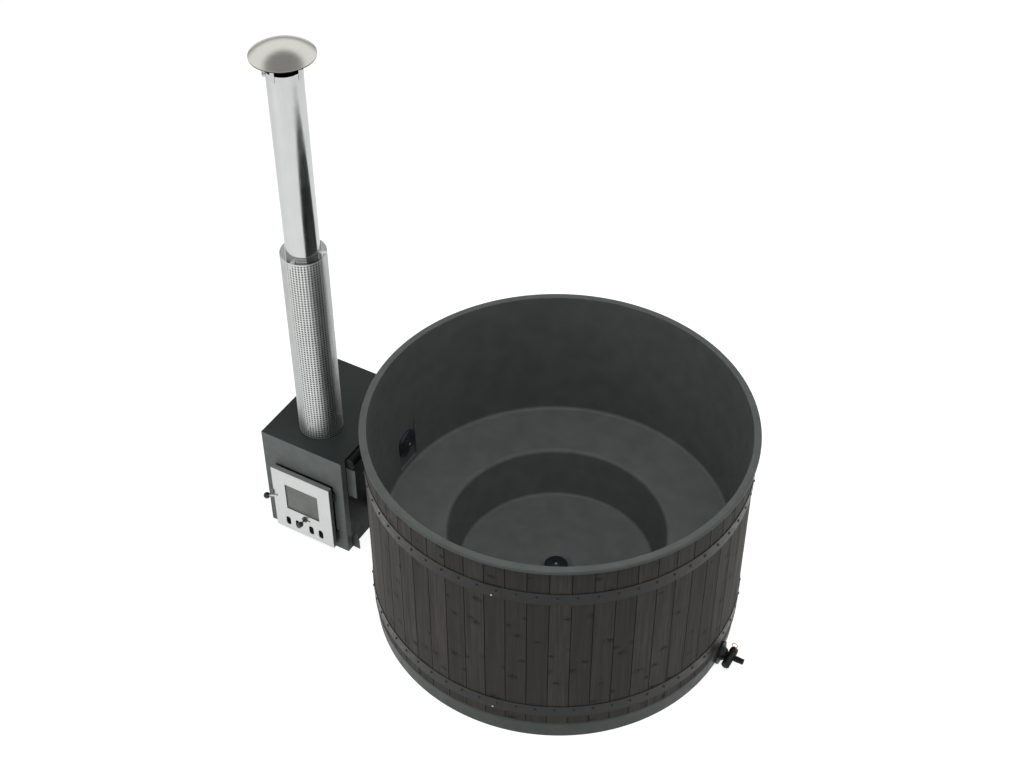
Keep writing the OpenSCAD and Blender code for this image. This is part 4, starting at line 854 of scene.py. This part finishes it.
# The screw through the lap stands higher than the rest
def buildScrews(name, z, node):
    s = screws
    step = 360 / s["count"]
    lap = s["firstTurn"] + step * s["nearLap"]
    radius = hoops["inR"] + hoops["thick"] - s["sink"]
    parts = [grow("hoopScrews", screwHead(radius + lift, z + s["line"]), s["sharp"], {
        "Round": count, "First Turn": first, "Turn Step": step, "Finish": finishes["black_screws"]})
        for lift, count, first in ((0, s["count"] - 1, lap + step), (hoops["lapRise"], 1, lap))]
    addPiece(name, joined(name, parts, s["sharp"]), "black_screws", replaced=(node,))


# One rivet in each lap
rivets = {"dome": [(4.4, 0), (4.4, 0.5), (4.0, 1.2), (3.0, 1.8), (1.6, 2.15), (0, 2.2)], "up": 10,
          "sides": 20, "sharp": 50}


def buildRivets():
    r = rivets
    radius = hoops["inR"] + hoops["thick"] + hoops["lapRise"]
    parts = []
    for z in (hoops["low"], hoops["high"]):
        shape = turnedShape(r["dome"], r["sides"], closed=False)
        parts.append(toMesh("rivet", shape, r["sharp"], onWall(radius, z + r["up"], hoops["lapTurn"])))
    mesh = joined("hoop_rivet_domes", parts, r["sharp"])
    addPiece("hoop_rivet_domes", mesh, "bright_metal", replaced=("hoop_rivets",))


buildLiner()
buildPan()
print("tub moulded")
buildBoards()
hoopPair = (("hoop_upper", hoops["high"], "upper_hoop"), ("hoop_lower", hoops["low"], "lower_hoop"))
for hoopName, hoopZ, hoopNode in hoopPair:
    buildHoop(hoopName, hoopZ, hoopNode)
    buildScrews(hoopNode + "_heads", hoopZ, hoopNode + "_screws")
buildRivets()
print("cladding, hoops and screws on")


# Grilles of the wall return and the floor drain: a hub, rings, and ribs between them
grille = {"hubDeep": 5, "hubEdge": 1, "hubBevel": 1.2, "crownEdge": 0.6, "crown": 0.7, "hubSides": 48,
          "ringEdge": 0.8, "ringSides": 72, "ribEdge": 0.5, "screwSides": 24, "flangeSides": 96}


# Rib between two radii that follows a height at each end
def ribMesh(r0, z0, r1, z1, half, deep):
    edge = grille["ribEdge"]
    section = ((-half, -deep), (half, -deep), (half, -edge), (half / 2, 0), (-half / 2, 0), (-half, -edge))
    shape = bmesh.new()
    rows = []
    for k in range(4):
        r, z = r0 + (r1 - r0) * k / 3, z0 + (z1 - z0) * k / 3
        rows.append([shape.verts.new((r * mm, y * mm, (z + dz) * mm)) for y, dz in section])
    skinRows(shape, rows)
    return toMesh("rib", shape)


def ringMesh(r0, r1, low, high):
    edge = grille["ringEdge"]
    profile = [(r0, low), (r1, low), (r1, high - edge), (r1 - edge, high), ((r0 + r1) / 2, high),
               (r0 + edge, high), (r0, high - edge)]
    return toMesh("ring", turnedShape(profile, grille["ringSides"]))


def buildGrille(name, node, setting, place):
    g, r, top = grille, setting["hubR"], setting["hubTop"]
    hub = [(0, top - g["hubDeep"]), (r, top - g["hubDeep"]), (r, top - g["hubEdge"]),
           (r - g["hubBevel"], top), (r / 2, top + g["crownEdge"]), (0, top + g["crown"])]
    parts = [toMesh("hub", turnedShape(hub, g["hubSides"], closed=False))]
    parts += [ringMesh(*ring) for ring in setting["rings"]]
    parts += [grow("ribs", ribMesh(*rib), 40, {"Round": count, "Turn Step": 360 / count,
                                               "Finish": finishes["black_plastic"]})
              for count, *rib in setting["ribs"]]
    mesh = joined(name, parts)
    mesh.transform(place)
    addPiece(name, mesh, "black_plastic", replaced=(node,))


def buildScrewHead(name, node, setting, place):
    mesh = toMesh(name, turnedShape(setting["screw"], grille["screwSides"], closed=False), 40, place)
    addPiece(name, mesh, "bright_metal", replaced=(node,))


# A ring is its inner and outer radius, foot and top. A row of ribs is its count, inner radius and height,
# outer radius and height, half width and depth
wallReturn = {
    "x": -790, "z": 562, "hubR": 13, "hubTop": 19.4, "screwSink": 1.4,
    "flange": [(54, 3), (54, 8.8), (56, 9.6), (59, 9.6), (60.2, 11.2), (61.4, 11.8), (63, 11.2), (65.2, 9.0),
               (66, 6.5), (66, 0), (29, 0), (29, -94), (24, -94), (24, 3)],
    "rings": [(24, 27, 12, 18.4), (36, 39, 10, 16.6), (48.5, 53.6, 4, 13.4)],
    "ribs": [(18, 12, 18.6, 25, 18.0, 1.6, 4), (28, 26, 18.0, 37, 16.2, 1.6, 4),
             (40, 38, 16.2, 50, 13.2, 1.5, 4)],
    "screw": [(0, 22.2), (2.2, 22.2), (2.4, 23.8), (3.4, 23.8), (4.8, 22.6), (5.2, 20.2), (2.4, 20.2),
              (2.4, 4), (0, 4)],
}
strainer = {
    "z": 154, "hubR": 14, "hubTop": 22.2,
    "rings": [(25, 28, 14, 21.6), (38, 41, 12, 19.2), (50, 55, 4, 14.5)],
    "ribs": [(18, 13, 22.0, 26, 21.2, 1.7, 4), (28, 27, 21.2, 39, 18.8, 1.7, 4),
             (40, 40, 18.8, 52, 14.2, 1.6, 5)],
    "screw": [(0, 23.2), (2.8, 23.2), (3.0, 25.2), (4.2, 25.2), (5.7, 24.2), (6.0, 22.8), (2.4, 22.8),
              (2.4, 10), (0, 10)],
}


def buildWallReturn():
    w = wallReturn
    side = Matrix(((0, 0, 1, w["x"] * mm), (0, 1, 0, 0), (-1, 0, 0, w["z"] * mm), (0, 0, 0, 1)))
    flange = toMesh("return_flange", turnedShape(w["flange"], grille["flangeSides"]), 40, side)
    addPiece("return_flange", flange, "black_plastic", replaced=("return_fitting",))
    buildGrille("return_grille_ribs", "return_grille", w, side)
    sunk = side @ Matrix.Translation((0, 0, -w["screwSink"] * mm))
    buildScrewHead("return_screw_head", "return_screw", w, sunk)


def buildStrainer():
    up = Matrix.Translation((0, 0, strainer["z"] * mm))
    buildGrille("drain_strainer_ribs", "drain_strainer", strainer, up)
    buildScrewHead("drain_screw_head", "drain_screw", strainer, up)


buildWallReturn()
buildStrainer()
print("water fittings in")

# Chimney: pipe, perforated shield, spun cap
chimney = {
    "pipeR": 74.5, "pipeThick": 1.5, "pipeLow": 557, "pipeTop": 2480, "pipeRings": (1100, 1600, 2100),
    "pipeEdge": 0.6, "pipeInnerEdge": 0.4, "steps": 128,
    "shieldR": 100.5, "shieldThick": 1.2, "shieldLow": 583, "shieldTop": 1590, "shieldBand": 4, "columns": 48,
    "rows": 76, "holeR": 4.4, "weld": 0.02,
    "capR": 133, "capZ": 2540, "capRise": 45, "capThick": 1.5, "capHem": ((0, 3), (0.3, 5.6), (0.9, 6)),
    "capHemInner": 5.2, "capSteps": 26,
}
chimneyPlace = Matrix.Translation((chimneyAxis[0] * mm, chimneyAxis[1] * mm, 0))


# One square cell of the shield with its round hole, bent to the tube and thick as the sheet
def shieldCell(pitch, rise):
    c = chimney
    across, upward = pitch / 2, rise / 2
    corners = [(across, 0), (across, upward), (0, upward), (-across, upward), (-across, 0),
               (-across, -upward), (0, -upward), (across, -upward)]
    holes = arc(0, 0, c["holeR"], 0, 360, 8)[:-1]
    shape = bmesh.new()

    def onTube(points, radius):
        middle = c["shieldLow"] + c["shieldBand"] + upward
        return [shape.verts.new((radius * mm * cos(u / c["shieldR"]), radius * mm * sin(u / c["shieldR"]),
                                 (middle + v) * mm)) for u, v in points]

    inner = c["shieldR"] - c["shieldThick"]
    outerRim, outerHole = onTube(corners, c["shieldR"]), onTube(holes, c["shieldR"])
    innerRim, innerHole = onTube(corners, inner), onTube(holes, inner)
    for k in range(8):
        n = (k + 1) % 8
        shape.faces.new((outerRim[k], outerRim[n], outerHole[n], outerHole[k]))
        shape.faces.new((innerRim[n], innerRim[k], innerHole[k], innerHole[n]))
        shape.faces.new((outerHole[k], outerHole[n], innerHole[n], innerHole[k]))
    cell = bpy.data.meshes.new("shieldCell")
    shape.to_mesh(cell)
    shape.free()
    cell.shade_smooth()
    return cell


def buildShield():
    c = chimney
    outer, inner, wide, weld = c["shieldR"], c["shieldR"] - c["shieldThick"], c["shieldBand"], c["weld"] * mm
    rise = (c["shieldTop"] - c["shieldLow"] - 2 * wide) / c["rows"]
    look = finishes["shield_sheet"]
    mesh = grow("shieldSheet", shieldCell(2 * pi * outer / c["columns"], rise), 40, {
        "Round": c["columns"], "Rows": c["rows"], "Turn Step": 360 / c["columns"], "Row Rise": rise * mm,
        "Weld": weld, "Finish": look})
    whole = bmesh.new()
    whole.from_mesh(mesh)
    for low, high in ((c["shieldLow"], c["shieldLow"] + wide), (c["shieldTop"], c["shieldTop"] - wide)):
        band = [(outer, high), (outer, low), (inner, low), (inner, high)]
        turnedShape(band, c["columns"] * 2, closed=False, shape=whole)
    bmesh.ops.remove_doubles(whole, verts=whole.verts, dist=weld)
    bmesh.ops.recalc_face_normals(whole, faces=whole.faces)
    whole.to_mesh(mesh)
    whole.free()
    mesh.transform(chimneyPlace)
    shadeMesh(mesh, 40)
    mesh.materials.clear()
    addPiece("heat_shield_sheet", mesh, "stainless", replaced=("heat_shield",), finish=look)


def buildPipe():
    c = chimney
    outer, inner, top, edge = c["pipeR"], c["pipeR"] - c["pipeThick"], c["pipeTop"], c["pipeEdge"]
    profile = [(outer, z) for z in (c["pipeLow"], *c["pipeRings"], top - edge)]
    profile += [(outer - edge, top), (inner + c["pipeInnerEdge"], top), (inner, top - edge),
                (inner, c["pipeLow"])]
    mesh = toMesh("flue_tube", turnedShape(profile, c["steps"]), 40, chimneyPlace)
    addPiece("flue_tube", mesh, "polished_flue", replaced=("flue_pipe",))


def buildCap():
    c = chimney
    r, rise, thick, foot = c["capR"], c["capRise"], c["capThick"], c["capZ"]
    ball = (r * r + rise * rise) / (2 * rise)
    reach = degrees(asin(r / ball))
    base = foot + rise - ball
    outer = arc(0, base, ball, 90, 90 - reach, c["capSteps"])
    outer[0] = (0.0, foot + rise)
    hem = [(r - back, foot - drop) for back, drop in c["capHem"]] + [(r - thick, foot - c["capHemInner"])]
    under = arc(0, base, ball - thick, 90 - reach, 90, c["capSteps"])
    under[-1] = (0.0, base + ball - thick)
    shape = turnedShape(outer + hem + under, c["steps"], closed=False)
    mesh = toMesh("rain_cap_dome", shape, 40, chimneyPlace)
    addPiece("rain_cap_dome", mesh, "cap_steel", replaced=("rain_cap",))


buildShield()
buildPipe()
buildCap()
print("chimney up")

# Stove, door and valve: copies of the nodes' own shapes with softened edges, each with the edge's width in
# millimetres, its slot, and its finish where that isn't the slot's
softening = {"merge": 2e-6, "flatten": 0.6, "sharp": 35.0, "segments": 2}
softEdges = [
    ("stove_casing", 1.2, "stove_paint_dark", None), ("side_bracket", 0.6, "bracket_steel", None),
    ("foot_bracket", 0.6, "bracket_steel", None), ("door_frame", 0.7, "stove_paint", None),
    ("door_plate", 0.5, "stainless", None), ("door_glass", 0.4, "window_glass", None),
    ("flue_collar", 0.8, "stove_paint_dark", None), ("valve_spindle", 0.6, "copper_metal", None),
    ("cap_band", 0.3, "polished_flue", None), ("stove_front", 1.2, "stove_paint", "stove_panel"),
    # the hot header takes the near-black painted-shade finish
    ("hot_header", 0.6, "stove_paint_dark", "header_shaded_black"),
    ("valve_flange", 0.8, "black_plastic", "valve_black"),
    ("valve_body", 0.6, "black_plastic", "valve_black"), ("valve_plug", 0.6, "black_plastic", "valve_black"),
]


def softenEdges(node, width, slotName, look):
    s = softening
    shape = bmesh.new()
    shape.from_mesh(nodes[node].data)
    bmesh.ops.remove_doubles(shape, verts=shape.verts, dist=s["merge"])
    bmesh.ops.dissolve_limit(shape, angle_limit=radians(s["flatten"]), verts=shape.verts, edges=shape.edges)
    mesh = bpy.data.meshes.new(node + "_soft")
    shape.to_mesh(mesh)
    shape.free()
    mesh.materials.clear()
    shadeMesh(mesh, s["sharp"])
    body = nodes[node]["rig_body"]
    piece = addPiece(node + "_soft", mesh, slotName, body, (node,), finishes[look or slotName])
    edge = piece.modifiers.new("edge", "BEVEL")
    edge.width = width * mm
    edge.segments = s["segments"]
    edge.limit_method = "ANGLE"
    edge.angle_limit = radians(s["sharp"])
    edge.harden_normals = True


for row in softEdges:
    softenEdges(*row)

# Nodes that keep their own shape
keptNodes = {
    "return_nut": "black_plastic", "drain_body": "black_plastic", "drain_tee": "pipe_plastic",
    "drain_pipe": "pipe_plastic", "valve_ring": "copper_metal", "cold_pipe": "pipe_plastic",
    "cold_stub": "black_rubber", "header_plug": "stove_paint_dark", "hot_hose": "black_rubber",
    "hose_clamps": "stainless", "stove_floor": "stove_paint_dark", "water_jacket": "raw_steel",
    "fire_grate": "iron", "bracket_bolts": "black_screws", "door_hinges": "stove_paint_dark",
    "latch_catch": "stove_paint_dark", "glass_retainer": "stove_paint_dark", "door_gasket": "gasket_rope",
    "door_knuckles": "stove_paint_dark", "damper_slide": "raw_steel", "damper_knob": "knob_plastic",
    "latch_lever": "stainless", "latch_knob": "knob_plastic", "shield_spacers": "stainless",
    "cap_bolt": "bright_metal", "cap_legs": "stainless",
}
for node, slotName in keptNodes.items():
    for slot in nodes[node].material_slots:
        slot.material = finishes[slotName]
print("stove, door and valve dressed")
